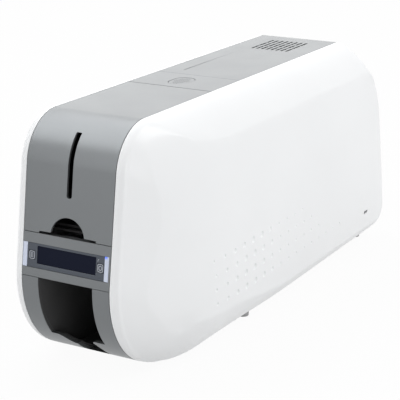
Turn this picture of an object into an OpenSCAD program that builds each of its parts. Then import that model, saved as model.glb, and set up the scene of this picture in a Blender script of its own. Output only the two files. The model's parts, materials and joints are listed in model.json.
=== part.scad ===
// Desktop card printer: two white side shells around a grey centre strip, with a
// card hopper behind the front cover and the print mechanism under the top cover.
// X is the width, Y the depth with the front at low Y, Z is up from the table.

/* [Overall] */
// Width over both side shells
body_w = 173; // [145:1:210]
// Height from the table to the top covers
body_h = 217.4; // [200:0.1:265]
// Length of the top, from the front face at the hopper seam to the rear edge
top_l = 437.7; // [430:0.1:530]
// Width of the grey centre strip
strip_w = 86; // [84:1:104]
// Height of the underside above the table
foot_h = 2.8; // [2.5:0.1:5]

/* [Outline] */
// Backward lean of the front face, degrees
front_lean = 8; // [5:0.5:10]
// Lean of the rear face, degrees
rear_lean = 13.7; // [10:0.1:16]
// Radius from the front face to the top
top_r = 42.8; // [35:0.1:48]
// Radius from the front face to the underside
chin_r = 78; // [70:1:82]
// Radius at the rear edge of the underside
heel_r = 14; // [10:1:18]
// Radius at the rear edge of the top, round the lid hinge
nose_r = 8; // [8:0.5:9]

/* [Seams] */
// Height of the seam between the hopper cover and the display bar
seam_z = 123.7; // [120:0.1:128]
// Height of the display bar along the face
bar_h = 37; // [34:0.5:40]
// Distance from the front datum to the rear edge of the hopper cover
hopper_seam = 163; // [160:0.5:168]
// Distance from the front datum to the front edge of the top cover
lid_seam = 215.6; // [212:0.1:222]
// Gap between neighbouring covers
seam_gap = 0.4; // [0.3:0.05:0.6]

/* [Walls] */
// Wall of the grey covers
wall = 2.6; // [2:0.1:3]
// Wall of the white side shells
shell_wall = 2.5; // [2:0.1:3]
// Thickness of the steel side plates
plate_t = 1.5; // [1:0.1:2]

/* [Side shells] */
// Flat rim of a side shell next to the grey strip
rim_w = 6; // [4:0.5:8]
// Slope of the swept-back front of a side shell
front_taper = 1.4; // [1.2:0.1:1.5]
// Extra depth by which the front rounds into the side
front_bulge = 22; // [15:1:26]
// Drop of the shoulder from the top to the crease
shoulder_drop = 30; // [24:1:34]
// Radius from the side to the underside
side_r = 32; // [26:1:34]
// Height of the widest line of the side
widest_z = 102.5; // [98:0.5:106]

/* [Card path] */
// Width of a card
card_w = 54; // [54:0.1:54]
// Radius of the driven rollers
roller_r = 7; // [6:0.5:7]
// Radius of the idle rollers above the card
pinch_r = 5; // [4:0.5:5]
// Radius of a driven roller's shaft
shaft_r = 3; // [2.5:0.5:3]
// Running gap between a shaft and its bearing
running_gap = 0.05; // [0.03:0.01:0.08]
// Gap between parts that move past each other
free_gap = 0.4; // [0.35:0.05:0.5]

/* [Output pocket] */
// Width of the pocket mouth
mouth_w = 53.2; // [50:0.1:56]
// Height of the pocket lip
lip_z = 32.2; // [28:0.1:36]

/* [Panel] */
// Width of the screen
screen_w = 57.4; // [50:0.1:60]
// Height of the screen along the face
screen_h = 15; // [12:0.5:16]
// Width of a panel button
key_w = 5.6; // [5:0.1:5.8]
// Height of a panel button along the face
key_h = 7; // [6:0.1:8]
// Travel of the panel buttons
key_travel = 0.6; // [0.4:0.1:0.8]

/* [Hidden] */
$fn = 48;

grey = "#7c7f81";
white = "#f4f5f6";
dark = "#26272a";
steel = "#b9bdc2";
rubber = "#1b1b1c";

// Corner centres of the side outline, measured from the front datum
function lean_f(z) = (z - seam_z)*tan(front_lean);
function lean_r(z) = (body_h - z)*tan(rear_lean);
top_cz = body_h - top_r;
top_cy = lean_f(top_cz) + top_r/cos(front_lean);
chin_cz = foot_h + chin_r;
chin_cy = lean_f(chin_cz) + chin_r/cos(front_lean);
heel_cz = foot_h + heel_r;
heel_cy = top_l + lean_r(heel_cz) - heel_r/cos(rear_lean);
nose_cz = body_h - nose_r;
nose_cy = top_l + lean_r(nose_cz) - nose_r/cos(rear_lean);

// The front datum is placed so that the whole length is centred on Y = 0
face_y = -(chin_cy - chin_r + heel_cy + heel_r)/2;
top_c = [face_y + top_cy, top_cz];
chin_c = [face_y + chin_cy, chin_cz];
heel_c = [face_y + heel_cy, heel_cz];
nose_c = [face_y + nose_cy, nose_cz];
// The rear corners stay round while they are drawn in by less than their radius
sharp_r = 0.5;
function nose_at(d) = let(r = max(nose_r - d, sharp_r), z = body_h - d - r)
    [face_y + top_l + lean_r(z) - (r + d)/cos(rear_lean), z];
function heel_at(d) = let(r = max(heel_r - d, sharp_r), z = foot_h + d + r)
    [face_y + top_l + lean_r(z) - (r + d)/cos(rear_lean), z];
half_strip = strip_w/2;
half_body = body_w/2;
cover_x = half_strip - 0.4;

// Side plates and what hangs on them
plate_x = half_strip - 9.5;
plate_out = plate_x + plate_t;
plate_inset = 8;
web_x = plate_out + 0.2;
web_t = 2;
screw_r = 1.45;
screw_hole_r = 1.6;
screw_head_r = 2.8;
screw_head_h = 2;

// Card path
card_t = 0.8;
card_z = seam_z + 0.9;
card_half = card_w/2;
drive_z = card_z - roller_r;
pinch_z = card_z + card_t + pinch_r;
pinch_shaft_r = 2;
pickup_y = face_y + 82;
clean_y = face_y + 118;
front_feed_y = face_y + 149;
middle_feed_y = face_y + 219;
platen_y = face_y + 283;
rear_feed_y = face_y + 345;
flip_y = nose_c[0] - 21;
flip_z = card_z + card_t/2;
flip_r = 28;
stub_r = 5;
clean_z = card_z + card_t + roller_r;
roller_half = card_half;

// Ribbon
spool_z = card_z + 40;
supply_y = platen_y - 47;
takeup_y = platen_y + 46;
core_r = 6;
ribbon_r = 14;
ribbon_half = card_half + 1;
cassette_x = card_half + 3;
cassette_t = 1.6;

// Belts and pulleys on the left of the frame
belt_w = 4;
belt_t = 1.2;
pulley_r = 6.4;
platen_pulley_r = 8;
motor_pulley_r = 4;
flip_pulley_r = 12;
belt_row = [plate_out + 3.5, plate_out + 9.5, plate_out + 15.5];
motor_c = [platen_y - 22, card_z - 45];
flip_motor_c = [flip_y - 16, 50];
motor_shaft_r = 2.5;
motor_side = 35;
motor_len = 24;

// Cover hinge, lid hinge, opening button
hinge_drop = 6;
hinge_tail = 5;
hopper_hinge = [face_y + hopper_seam - hinge_tail - 0.3, body_h - hinge_drop];
hinge_pin_r = 1.5;
hinge_ear_r = 2.8;
hinge_swing = norm([hinge_tail, hinge_drop]);
// the strip behind the hopper cover starts where the cover's tail swings clear
strip_edge = sqrt(pow(hinge_swing + free_gap, 2) - pow(hinge_drop, 2));
lid_pin_r = 2;
lid_ear_r = 4.6;
lug_x = plate_out + 0.4;
lug_t = 3;
button_r = 9.5;
button_l = 10;
button_x = -2;
button_y = face_y + 188.5;
lever_arm = 17;
lever_c = [button_y + lever_arm, body_h - 12];

// Side shell: how far each edge of the outline draws in, at x from the middle
rim_x = half_strip + rim_w;
crease_x = half_body - 8.5;
flat_h = 14;
function part(x, a, b) = min(1, max(0, (x - a)/(b - a)));
function round_in(u) = 1 - sqrt(1 - u*u);
function shoulder_in(x) = shoulder_drop*pow(max(0, x - half_strip)/(crease_x - half_strip), 1.6);
side_top = body_h - widest_z - flat_h/2 - shoulder_in(half_body);
side_bottom = widest_z - flat_h/2 - foot_h - side_r;
function front_in(x) = front_taper*max(0, x - rim_x) + front_bulge*round_in(part(x, rim_x, half_body));
function top_in(x) = shoulder_in(x) + side_top*round_in(part(x, crease_x, half_body));
function bottom_in(x) = side_r*round_in(part(x, half_body - side_r - 1.5, half_body - 1.5))
    + side_bottom*round_in(part(x, half_body - 2.5, half_body));
// the radius to the underside grows toward the side
chin_growth = 1.8;
function chin_at(x) = chin_r*(1 + chin_growth*part(x, rim_x + 7, crease_x));
function rear_in(x) = 3.5*round_in(pow(part(x, half_strip, half_body), 3));

shell_steps = 10;
corner_steps = [8, 12, 5, 5];
corner_angles = [90, 180 - front_lean, 270, 360 + rear_lean, 450];

// One ring of the shell: the outline at outer distance x, drawn in by a wall
function shell_ring(x, w) = let(
    f = front_in(x) + w, t = top_in(x) + w, b = bottom_in(x) + w, k = rear_in(x) + w,
    high = body_h - foot_h - t - b,
    top = top_r*min(1, 0.94*high/(top_r + chin_r)),
    r = [top - w, min(chin_at(x), 0.94*high - top) - w, min(heel_r - w, 0.4*high), min(nose_r - w, 0.4*high)],
    z = [body_h - t - r[0], foot_h + b + r[1], foot_h + b + r[2], body_h - t - r[3]],
    y = [lean_f(z[0]) + (r[0] + f)/cos(front_lean), lean_f(z[1]) + (r[1] + f)/cos(front_lean),
        top_l + lean_r(z[2]) - (r[2] + k)/cos(rear_lean),
        top_l + lean_r(z[3]) - (r[3] + k)/cos(rear_lean)])
    [for (c = [0:3], s = [0:corner_steps[c]])
        let(a = corner_angles[c] + (corner_angles[c + 1] - corner_angles[c])*s/corner_steps[c])
        [x - w, face_y + y[c] + r[c]*cos(a), z[c] + r[c]*sin(a)]];

function shell_x(s) = rim_x + (half_body - rim_x)*sin(90*s/shell_steps);

// Small helpers
module across(x0, x1) {
    translate([x0, 0, 0]) rotate([90, 0, 90]) linear_extrude(x1 - x0) children();
}
module both_sides() {
    children();
    mirror([1, 0, 0]) children();
}
module x_bar(x0, x1, r, at) {
    translate([x0, at[0], at[1]]) rotate([0, 90, 0]) cylinder(h = x1 - x0, r = r);
}
module block(x0, x1, y0, y1, z0, z1) {
    translate([x0, y0, z0]) cube([x1 - x0, y1 - y0, z1 - z0]);
}
module area(y0, y1, z0, z1) {
    translate([y0, z0]) square([y1 - y0, z1 - z0]);
}
// Frame of the front face: y is the depth behind it, z runs up along it
module on_front() {
    translate([0, face_y, seam_z]) rotate([-front_lean, 0, 0]) children();
}
// Frame of the rear face: y points out of it, z runs up along it
module on_rear(z) {
    translate([0, face_y + top_l + lean_r(z), z]) rotate([rear_lean, 0, 0]) children();
}
function front_pt(d, s) = [face_y + d*cos(front_lean) + s*sin(front_lean),
    seam_z - d*sin(front_lean) + s*cos(front_lean)];
function rear_pt(z, d) = [face_y + top_l + lean_r(z) - d*cos(rear_lean), z - d*sin(rear_lean)];

// Side outline of the grey strip, drawn in by d
module outline(d) {
    nf = [-cos(front_lean), sin(front_lean)];
    nr = [cos(rear_lean), sin(rear_lean)];
    heel = heel_at(d);
    nose = nose_at(d);
    heel_in = max(heel_r - d, sharp_r);
    nose_in = max(nose_r - d, sharp_r);
    polygon([
        top_c + [0, top_r - d], top_c + nf*(top_r - d),
        chin_c + nf*(chin_r - d), chin_c - [0, chin_r - d],
        heel - [0, heel_in], heel + nr*heel_in,
        nose + nr*nose_in, nose + [0, nose_in]]);
    translate(top_c) circle(top_r - d, $fn = 96);
    translate(chin_c) circle(chin_r - d, $fn = 128);
    translate(heel) circle(heel_in);
    translate(nose) circle(nose_in);
}
module skin(d0, d1) {
    difference() {
        outline(d0);
        outline(d1);
    }
}

// Places of the screws that hold each cover's web to the side plates
screw_at = [front_pt(14, -8), front_pt(14, -29), [face_y + 20, 60],
    [face_y + 178, body_h - 14], [face_y + 206, body_h - 14],
    [face_y + 120, foot_h + 12], [heel_c[0] - 60, foot_h + 12],
    rear_pt(48, 13), rear_pt(150, 13)];
// Driven shafts, idle shafts and the flip stub, as [place, shaft radius]
bearings = [[[pickup_y, drive_z], shaft_r], [[front_feed_y, drive_z], shaft_r],
    [[middle_feed_y, drive_z], shaft_r], [[platen_y, drive_z], shaft_r],
    [[rear_feed_y, drive_z], shaft_r], [[clean_y, clean_z], pinch_shaft_r],
    [[front_feed_y, pinch_z], pinch_shaft_r], [[middle_feed_y, pinch_z], pinch_shaft_r],
    [[rear_feed_y, pinch_z], pinch_shaft_r], [[flip_y, flip_z], stub_r]];
bush_wall = 1.5;
// Bars that tie the two plates together, and their radius
tie_at = [[face_y + 40, 104], [face_y + 180, 60], [face_y + 345, 60],
    [flip_y + 6, body_h - 28], [face_y + 190, body_h - 40]];
tie_r = 3;
standoff_y = [face_y + 120, face_y + 232, nose_c[0] + 6];
standoff_r = 4;

module side_plate() {
    color(steel) difference() {
        union() {
            across(plate_x, plate_out) difference() {
                outline(plate_inset);
                translate(nose_c) circle(nose_r + 0.6);
                translate(hopper_hinge) circle(hinge_swing + 0.6);
                // room for the hopper cover's lugs and for the open top
                area(face_y + 60, hopper_hinge[0] - 8, body_h - 18, body_h);
                area(face_y + lid_seam + 8, nose_c[0] - 22, spool_z + 20, body_h);
                // bay over the platen, where the cassette drops in
                area(supply_y + 22, takeup_y - 22, card_z + 14, body_h);
            }
            across(plate_x, plate_out) {
                translate(hopper_hinge) circle(hinge_ear_r);
                area(hopper_hinge[0] - hinge_ear_r + 0.5, hopper_hinge[0] + hinge_ear_r - 0.5,
                    body_h - 26, hopper_hinge[1]);
                translate(nose_c) circle(lid_ear_r);
                translate(nose_c) rotate(225) area(0, 16, 0.5 - lid_ear_r, lid_ear_r - 0.5);
            }
        }
        for (s = screw_at) x_bar(plate_x - 1, plate_out + 1, screw_hole_r, s);
        for (b = bearings) x_bar(plate_x - 1, plate_out + 1, b[1] + bush_wall + running_gap, b[0]);
        x_bar(plate_x - 1, plate_out + 1, hinge_pin_r + running_gap, hopper_hinge);
        x_bar(plate_x - 1, plate_out + 1, lid_pin_r + running_gap, nose_c);
    }
}
module left_side_plate() {
    difference() {
        mirror([1, 0, 0]) side_plate();
        x_bar(-plate_out - 1, -plate_x + 1, 11, motor_c);
        x_bar(-plate_out - 1, -plate_x + 1, 11, flip_motor_c);
    }
}
module right_side_plate() {
    difference() {
        side_plate();
        x_bar(plate_x - 1, plate_out + 1, core_r, [takeup_y, spool_z]);
    }
}

// A side shell is one closed skin: outer rings to the side, inner rings back to the rim
module shell_skin() {
    outer = concat([shell_ring(half_strip + 0.1, 0)], [for (s = [0:shell_steps]) shell_ring(shell_x(s), 0)]);
    rim_in = [for (p = shell_ring(half_strip + 0.1, shell_wall)) [half_strip + 0.1, p[1], p[2]]];
    inner = concat([for (s = [shell_steps:-1:0]) shell_ring(shell_x(s), shell_wall)], [rim_in]);
    rings = concat(outer, inner);
    n = len(rings[0]);
    m = len(rings);
    turn = shell_steps + 1;
    points = [for (r = rings, p = r) p];
    walls = [for (j = [0:m - 1]) if (j != turn) for (i = [0:n - 1]) each
        let(a = j*n + i, b = j*n + (i + 1)%n, k = (j + 1)%m, c = k*n + (i + 1)%n, d = k*n + i)
        [[a, b, c], [a, c, d]]];
    caps = [[for (i = [0:n - 1]) turn*n + i], [for (i = [n - 1:-1:0]) (turn + 1)*n + i]];
    polyhedron(points = points, faces = concat(walls, caps), convexity = 6);
}
lock_z = 40;
lock_y = heel_c[0] - 44;
module lock_slot() {
    block(half_body - 16, half_body + 2, lock_y - 5, lock_y + 5, lock_z - 1.6, lock_z + 1.6);
}
module right_side_shell() {
    color(white) difference() {
        shell_skin();
        lock_slot();
    }
}
module left_side_shell() {
    color(white) mirror([1, 0, 0]) shell_skin();
}

// Lower body
module base_tray() {
    color(dark) difference() {
        union() {
            across(-cover_x, cover_x) intersection() {
                skin(0, wall);
                area(chin_c[0] + seam_gap, heel_c[0], 0, 20);
            }
            both_sides() across(web_x, web_x + web_t) intersection() {
                outline(wall - 0.1);
                area(chin_c[0] + 4, heel_c[0] - 30, 0, foot_h + 18);
            }
        }
        for (s = screw_at) x_bar(-web_x - web_t - 1, web_x + web_t + 1, screw_hole_r, s);
        // cooling slots in the floor
        for (i = [0:9], side = [-1, 1])
            block(side*15 - 10, side*15 + 10, face_y + 180 + i*12, face_y + 184 + i*12, 0, foot_h + wall + 1);
    }
}
foot_r = 6;
foot_x = half_body - 27.5;
foot_lean = asin((foot_x - half_body + side_r + 1.5)/side_r);
foot_y = [face_y + 195.5, heel_c[0] - 13];
module foot(x, y) {
    translate([x, y, 0]) difference() {
        cylinder(h = foot_h + 6, r1 = foot_r - 0.6, r2 = foot_r);
        translate([0, 0, foot_h + bottom_in(abs(x)) - 0.35]) rotate([0, -foot_lean, 0])
            translate([-20, -20, 0]) cube([40, 40, 20]);
    }
}
module front_foot() {
    translate([half_strip - 8, face_y + 95, 0]) cylinder(h = foot_h - 0.1, r1 = foot_r - 0.6, r2 = foot_r);
}
module feet() {
    color(rubber) both_sides() {
        for (y = foot_y) foot(foot_x, y);
        front_foot();
    }
}
// Finger cut-out through the lip of the output pocket
module finger_cut() {
    translate([0, face_y + 60, 0]) rotate([90, 0, 0]) linear_extrude(90)
        polygon(concat([for (t = [0:0.125:1]) [14*t - 21, lip_z + 0.1 - 9.4*t*t*(3 - 2*t)]],
            [[-6, foot_h + 9], [18.5, foot_h + 9], [18, lip_z - 9.5], [15.6, lip_z - 4.6], [14.2, lip_z - 2.6],
            [14, lip_z - 1.3], [14.8, lip_z - 0.4], [16.2, lip_z + 0.1]]));
}
module output_fascia() {
    color(grey) difference() {
        union() {
            across(-cover_x, cover_x) intersection() {
                skin(0, 3);
                area(face_y - 20, chin_c[0], 0, body_h/2);
            }
            both_sides() across(web_x, web_x + web_t) intersection() {
                outline(2.9);
                area(face_y - 20, face_y + 30, 30, body_h/2);
            }
        }
        on_front() block(-half_strip, half_strip, -30, top_l, -bar_h - seam_gap, body_h);
        block(-mouth_w/2, mouth_w/2, face_y - 20, face_y + 60, lip_z, body_h);
        finger_cut();
        for (s = screw_at) x_bar(-web_x - web_t - 1, web_x + web_t + 1, screw_hole_r, s);
    }
}
tray_x = mouth_w/2 + 0.8;
tray_t = 1.5;
tray_back = face_y + 94;
module output_tray() {
    tray_top = front_pt(8, -bar_h)[1];
    color(dark) {
        both_sides() across(tray_x, tray_x + tray_t) intersection() {
            outline(3.3);
            area(face_y - 10, tray_back, 0, tray_top);
        }
        // floor that follows the fascia up to the lip
        difference() {
            across(-tray_x - 0.1, tray_x + 0.1) intersection() {
                skin(3.3, 3.3 + tray_t);
                area(face_y, tray_back, 0, lip_z - 1);
            }
            finger_cut();
        }
        // back wall with the exit slot, and roof
        across(-tray_x - 0.1, tray_x + 0.1) {
            difference() {
                area(tray_back - tray_t, tray_back, foot_h + 3.4, tray_top);
                area(tray_back - 3, tray_back + 1, tray_top - 14, tray_top - 5);
            }
            area(face_y + 14, tray_back, tray_top - tray_t, tray_top);
        }
    }
}

// Display bar and its panel
bezel_x = [-38.2, 36.7];
light_x = [36.9, 41];
ledge_d = 10;
ledge_r = 17;
key_at = [-33.7, 33];
bezel_s = [-29.7, -8.8];
bezel_mid = (bezel_s[0] + bezel_s[1])/2;
screen_s = bezel_mid + 0.8;
module display_bar() {
    color(grey) difference() {
        intersection() {
            across(-cover_x, cover_x) outline(0);
            union() {
                on_front() block(-cover_x, cover_x, -2, 3, -bar_h, -seam_gap/2);
                on_front() block(-cover_x, cover_x, -2, 7, -3, -seam_gap/2);
                on_front() block(-cover_x, cover_x, -2, 7, -bar_h, -bar_h + 3);
                // ledge behind the thumb notch
                on_front() translate([0, ledge_d - ledge_r, -3]) cylinder(h = 3 - seam_gap/2, r = ledge_r);
                on_front() both_sides() block(web_x, web_x + web_t, 2, 18, -bar_h + 2, -2);
            }
        }
        on_front() block(-half_strip, light_x[1] + 0.2, -3, 4.2, bezel_s[0], bezel_s[1]);
        for (s = screw_at) x_bar(-web_x - web_t - 1, web_x + web_t + 1, screw_hole_r, s);
    }
}
module display_bezel() {
    color("#454d58") on_front() difference() {
        block(bezel_x[0], bezel_x[1], 0.4, 3.2, bezel_s[0] + 0.15, bezel_s[1] - 0.15);
        block(-screen_w/2, screen_w/2, -1, 4, screen_s - screen_h/2, screen_s + screen_h/2);
        for (x = key_at)
            block(x - key_w/2 - free_gap, x + key_w/2 + free_gap, -1, 4,
                bezel_mid - key_h/2 - free_gap, bezel_mid + key_h/2 + free_gap);
    }
}
module display_window() {
    color("#141826") on_front() block(-screen_w/2 + 0.05, screen_w/2 - 0.05, 0.9, 5,
        screen_s - screen_h/2 + 0.05, screen_s + screen_h/2 - 0.05);
}
// Depth of the board's two sides behind the face
board_d = [5.2, 6.8];
module display_board() {
    color("#1f5a38") on_front() difference() {
        block(-plate_x + 1, plate_x - 1, board_d[0], board_d[1], -bar_h + 4, -4);
        for (side = [-1, 1])
            block(side*31 - 1.5, side*31 + 1.5, 4, 8, -bar_h, -bar_h + 7);
    }
}
module light_bars() {
    color("#cdd4e4") on_front() for (x = [[-cover_x, bezel_x[0] - 0.2], light_x])
        block(x[0], x[1], 0.1, 3.2, bezel_s[0] + 0.15, bezel_s[1] - 0.15);
}
key_end = board_d[0] - key_travel - 0.2;
module panel_key(x) {
    color("#454d58") on_front() {
        block(x - key_w/2, x + key_w/2, 0.5, 3, bezel_mid - key_h/2, bezel_mid + key_h/2);
        // plunger that stops short of the board's switch by its travel
        translate([x*0.953, key_end, bezel_mid]) rotate([90, 0, 0]) cylinder(h = key_end - 2.9, r = 1.1);
    }
}
module left_button() {
    panel_key(key_at[0]);
}
module right_button() {
    panel_key(key_at[1]);
}

// Hopper and its cover
hopper_x = card_half + 1;
hopper_d = [15, 98];
module card_hopper() {
    hopper_front = face_y + hopper_d[0] + 3;
    hopper_rear = face_y + hopper_d[1];
    color(dark) difference() {
        union() {
            both_sides() across(hopper_x, hopper_x + 2) intersection() {
                outline(wall + 3);
                area(hopper_front, hopper_rear, card_z - 2.4, body_h);
            }
            block(-hopper_x - 1, hopper_x + 1, hopper_front, hopper_rear, card_z - 2.4, card_z - 0.4);
            across(-hopper_x - 1, hopper_x + 1) intersection() {
                outline(wall + 3);
                area(hopper_rear - 2, hopper_rear, card_z + 2, body_h);
            }
            // tabs to the side plates
            both_sides() block(hopper_x + 1, plate_x - 0.15, hopper_front + 10, hopper_rear - 4, card_z - 2.4, card_z + 1);
        }
        block(-17, 17, pickup_y - roller_r, pickup_y + roller_r, card_z - 5, card_z + 0.5);
    }
}
module card_weight() {
    weight_y = [face_y + 22, face_y + 92];
    color("#3a3c40") {
        block(-hopper_x + 1, hopper_x - 1, weight_y[0], weight_y[1], card_z, card_z + 2.5);
        block(-4, 4, weight_y[0] + 10, weight_y[1] - 10, card_z + 2.4, card_z + 10);
    }
}
slot_x = 2.45;
slot_z = [155.5, 206.5];
notch_r = 15;
module hopper_cover() {
    color(grey) difference() {
        union() {
            across(-cover_x, cover_x) intersection() {
                skin(0, wall);
                union() {
                    area(face_y - 20, hopper_hinge[0], 0, body_h + 1);
                    translate(hopper_hinge) circle(hinge_swing);
                }
            }
            both_sides() across(cover_x - 2.4, cover_x) intersection() {
                outline(wall - 0.1);
                union() {
                    area(face_y - 20, face_y + 16, 0, top_c[1]);
                    difference() {
                        area(face_y - 20, hopper_hinge[0] - 12, top_c[1] - 0.1, body_h);
                        translate(top_c) circle(top_r - 12);
                        area(top_c[0], hopper_hinge[0], 0, body_h - 11);
                    }
                }
            }
            both_sides() across(lug_x, lug_x + lug_t) {
                translate(hopper_hinge) circle(3.2);
                area(hopper_hinge[0] - 3.2, hopper_hinge[0] + 2, hopper_hinge[1], body_h - wall + 0.1);
            }
        }
        // everything below the seam, the level slot, the thumb notch and the card slit
        on_front() block(-half_strip, half_strip, -30, top_l, -body_h, seam_gap/2);
        block(-slot_x, slot_x, face_y - 20, top_c[0] - 10, slot_z[0] + slot_x, slot_z[1]);
        translate([0, face_y + 30, slot_z[0] + slot_x]) rotate([90, 0, 0]) cylinder(h = 40, r = slot_x);
        on_front() rotate([90, 40, 0]) cylinder(h = 16, r = notch_r, center = true, $fn = 64);
        on_front() block(-card_half - 0.5, card_half + 0.5, -9, 9, -1, 1.8);
        both_sides() x_bar(lug_x - 1, lug_x + lug_t + 1, hinge_pin_r + running_gap, hopper_hinge);
    }
}

// Fixed strip between the two covers, with the opening button
strip_y = [hopper_hinge[0] + strip_edge, face_y + lid_seam - seam_gap/2];
module button_shape(grow) {
    for (side = [-1, 1])
        translate([button_x, button_y + side*button_l/2]) circle(button_r + grow);
    translate([button_x - button_r - grow, button_y - button_l/2]) square([2*(button_r + grow), button_l]);
}
lever_x = [-9, 5];
module mid_cover() {
    color(grey) difference() {
        union() {
            across(-cover_x, cover_x) difference() {
                area(strip_y[0], strip_y[1], body_h - wall, body_h);
                translate(hopper_hinge) circle(hinge_swing + free_gap);
            }
            both_sides() across(web_x, web_x + web_t)
                area(strip_y[0] + 8, strip_y[1], body_h - 20, body_h - wall + 0.1);
            // ears that carry the release lever
            for (x = [lever_x[0] - 2.6, lever_x[1] + 0.6])
                across(x, x + 2) {
                    area(lever_c[0] - 3, lever_c[0] + 3, lever_c[1], body_h - wall + 0.1);
                    translate(lever_c) circle(3);
                }
        }
        translate([0, 0, body_h - 10]) linear_extrude(20) button_shape(free_gap);
        x_bar(-cover_x, cover_x, hinge_pin_r + running_gap, lever_c);
        for (s = screw_at) x_bar(-web_x - web_t - 1, web_x + web_t + 1, screw_hole_r, s);
    }
}
module open_button() {
    color(grey) {
        translate([0, 0, body_h - wall]) linear_extrude(wall - 0.1) button_shape(0);
        // stem down to the release lever
        block(button_x - 3, button_x + 3, button_y - 4, button_y + 0.5, lever_c[1] + 3.4, body_h - wall + 0.1);
    }
}
module release_lever() {
    color("#c9ccd0") difference() {
        union() {
            block(lever_x[0], lever_x[1], button_y - 5, lever_c[0] + 17, lever_c[1] - 1.5, lever_c[1] + 3);
            x_bar(lever_x[0], lever_x[1], 3.4, lever_c);
        }
        x_bar(lever_x[0] - 1, lever_x[1] + 1, hinge_pin_r + running_gap, lever_c);
    }
}

// Top cover with the print head under it
scoop_y = [face_y + 232, face_y + 345];
scoop_x = 25;
scoop_drop = 2;
vent_y = [face_y + 360, face_y + 412];
vent_x = 19;
vent_n = 8;
vent_w = 2.2;
lid_y = [face_y + lid_seam + seam_gap/2, nose_c[0]];
module top_cover() {
    color(grey) difference() {
        union() {
            across(-cover_x, cover_x) {
                area(lid_y[0], lid_y[1], body_h - wall, body_h);
                difference() {
                    translate(nose_c) circle(nose_r);
                    translate(nose_c) circle(nose_r - wall);
                    translate(nose_c) rotate(rear_lean) area(-20, 20, -20, 0);
                    area(nose_c[0] - 20, nose_c[0], 0, body_h);
                }
            }
            both_sides() across(cover_x - 2.4, cover_x)
                area(lid_y[0], nose_c[0] - 12, body_h - 13, body_h - wall + 0.1);
            both_sides() across(lug_x, lug_x + lug_t) {
                translate(nose_c) circle(nose_r - 0.6);
                area(nose_c[0] - 14, nose_c[0], nose_c[1], body_h - wall + 0.1);
            }
            block(-scoop_x - 2, scoop_x + 2, scoop_y[0] - 2, scoop_y[1] + 2, body_h - wall - scoop_drop, body_h - 1);
            // tab that the release lever pushes
            block(lever_x[0] + 3, lever_x[1] - 3, lid_y[0] + 2, lid_y[0] + 6, lever_c[1] + 6, body_h - wall + 0.1);
            // rail that the head bracket hangs from
            block(-30, 30, platen_y - 6, platen_y + 15, body_h - 8, body_h - wall + 0.1);
        }
        // shallow scoop, deepest at its front edge
        translate([0, scoop_y[0], body_h - scoop_drop])
            rotate([atan(scoop_drop/(scoop_y[1] - scoop_y[0])), 0, 0])
            block(-scoop_x, scoop_x, 0, scoop_y[1] - scoop_y[0] + 1, 0, 8);
        for (i = [0:vent_n - 1], row = [0:2])
            block(-vent_x + i*2*vent_x/(vent_n - 1) - vent_w/2, -vent_x + i*2*vent_x/(vent_n - 1) + vent_w/2,
                vent_y[0] + row*18, vent_y[0] + row*18 + 15, body_h - 10, body_h + 1);
        both_sides() x_bar(lug_x - 1, lug_x + lug_t + 1, lid_pin_r + running_gap, nose_c);
    }
}
head_top = body_h - 8;
head_low = card_z + 26;
module head_bracket() {
    color(steel) difference() {
        block(-card_half, card_half, platen_y - 7, platen_y + 16, head_low, head_top);
        block(-card_half - 1, card_half + 1, platen_y - 4, platen_y + 13, head_low + 3, head_top - 3);
        for (x = [-18, 0, 18])
            translate([x, platen_y + 4.5, head_low - 1]) cylinder(h = 5, r = screw_hole_r);
    }
}
module head_heat_sink() {
    fin_n = 9;
    color("#d5d7da") {
        block(-card_half + 2, card_half - 2, platen_y - 6.5, platen_y + 15.5, head_low - 4, head_low);
        for (i = [0:fin_n - 1]) {
            x = -card_half + 4 + i*(card_w - 8)/(fin_n - 1);
            block(x - 0.6, x + 0.6, platen_y - 6.5, platen_y + 15.5, head_low - 11, head_low - 3.9);
        }
        block(-card_half + 2, card_half - 2, platen_y - 6.5, platen_y + 15.5, head_low - 13.5, head_low - 10.9);
    }
}
module print_head() {
    head_base = head_low - 13.5;
    color("#5d6166") across(-card_half, card_half) polygon([
        [platen_y - 1.5, card_z + card_t + 0.8], [platen_y + 1.5, card_z + card_t + 0.8],
        [platen_y + 15.5, head_base - 3], [platen_y + 15.5, head_base],
        [platen_y - 7.5, head_base], [platen_y - 7.5, head_base - 5]]);
}

// Rear panel and sockets
panel_t = 3;
port_x = 24;
jack_z = 76;
switch_z = 98;
usb_z = 56;
net_z = 36;
fan_x = -12;
fan_z = 50;
fan_side = 40;
fan_t = 10;
module rear_panel() {
    color(grey) difference() {
        union() {
            across(-cover_x, cover_x) difference() {
                intersection() {
                    skin(0, panel_t);
                    union() {
                        area(heel_c[0] + seam_gap, heel_c[0] + 60, 0, heel_c[1]);
                        area(nose_c[0] - 20, heel_c[0] + 60, heel_c[1] - 0.1, nose_c[1]);
                    }
                }
                translate(nose_c) circle(nose_r + free_gap);
            }
            both_sides() across(web_x, web_x + web_t) intersection() {
                skin(panel_t - 0.1, 20);
                area(nose_c[0] - 20, heel_c[0] + 60, heel_c[1] + 14, 165);
            }
        }
        on_rear(switch_z) block(port_x - 8.7, port_x + 8.7, -10, 10, -6.4, 6.4);
        on_rear(jack_z) translate([port_x, 5, 0]) rotate([90, 0, 0]) cylinder(h = 20, r = 5.6);
        on_rear(usb_z) block(port_x - 6.1, port_x + 6.1, -10, 10, -5.6, 5.6);
        on_rear(net_z) block(port_x - 8.2, port_x + 8.2, -10, 10, -6.9, 6.9);
        // fan grille
        on_rear(fan_z) for (i = [-3:3])
            block(fan_x - sqrt(18*18 - pow(i*5, 2)), fan_x + sqrt(18*18 - pow(i*5, 2)), -10, 10, i*5 - 1.2, i*5 + 1.2);
        for (s = screw_at) x_bar(-web_x - web_t - 1, web_x + web_t + 1, screw_hole_r, s);
    }
}
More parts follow.
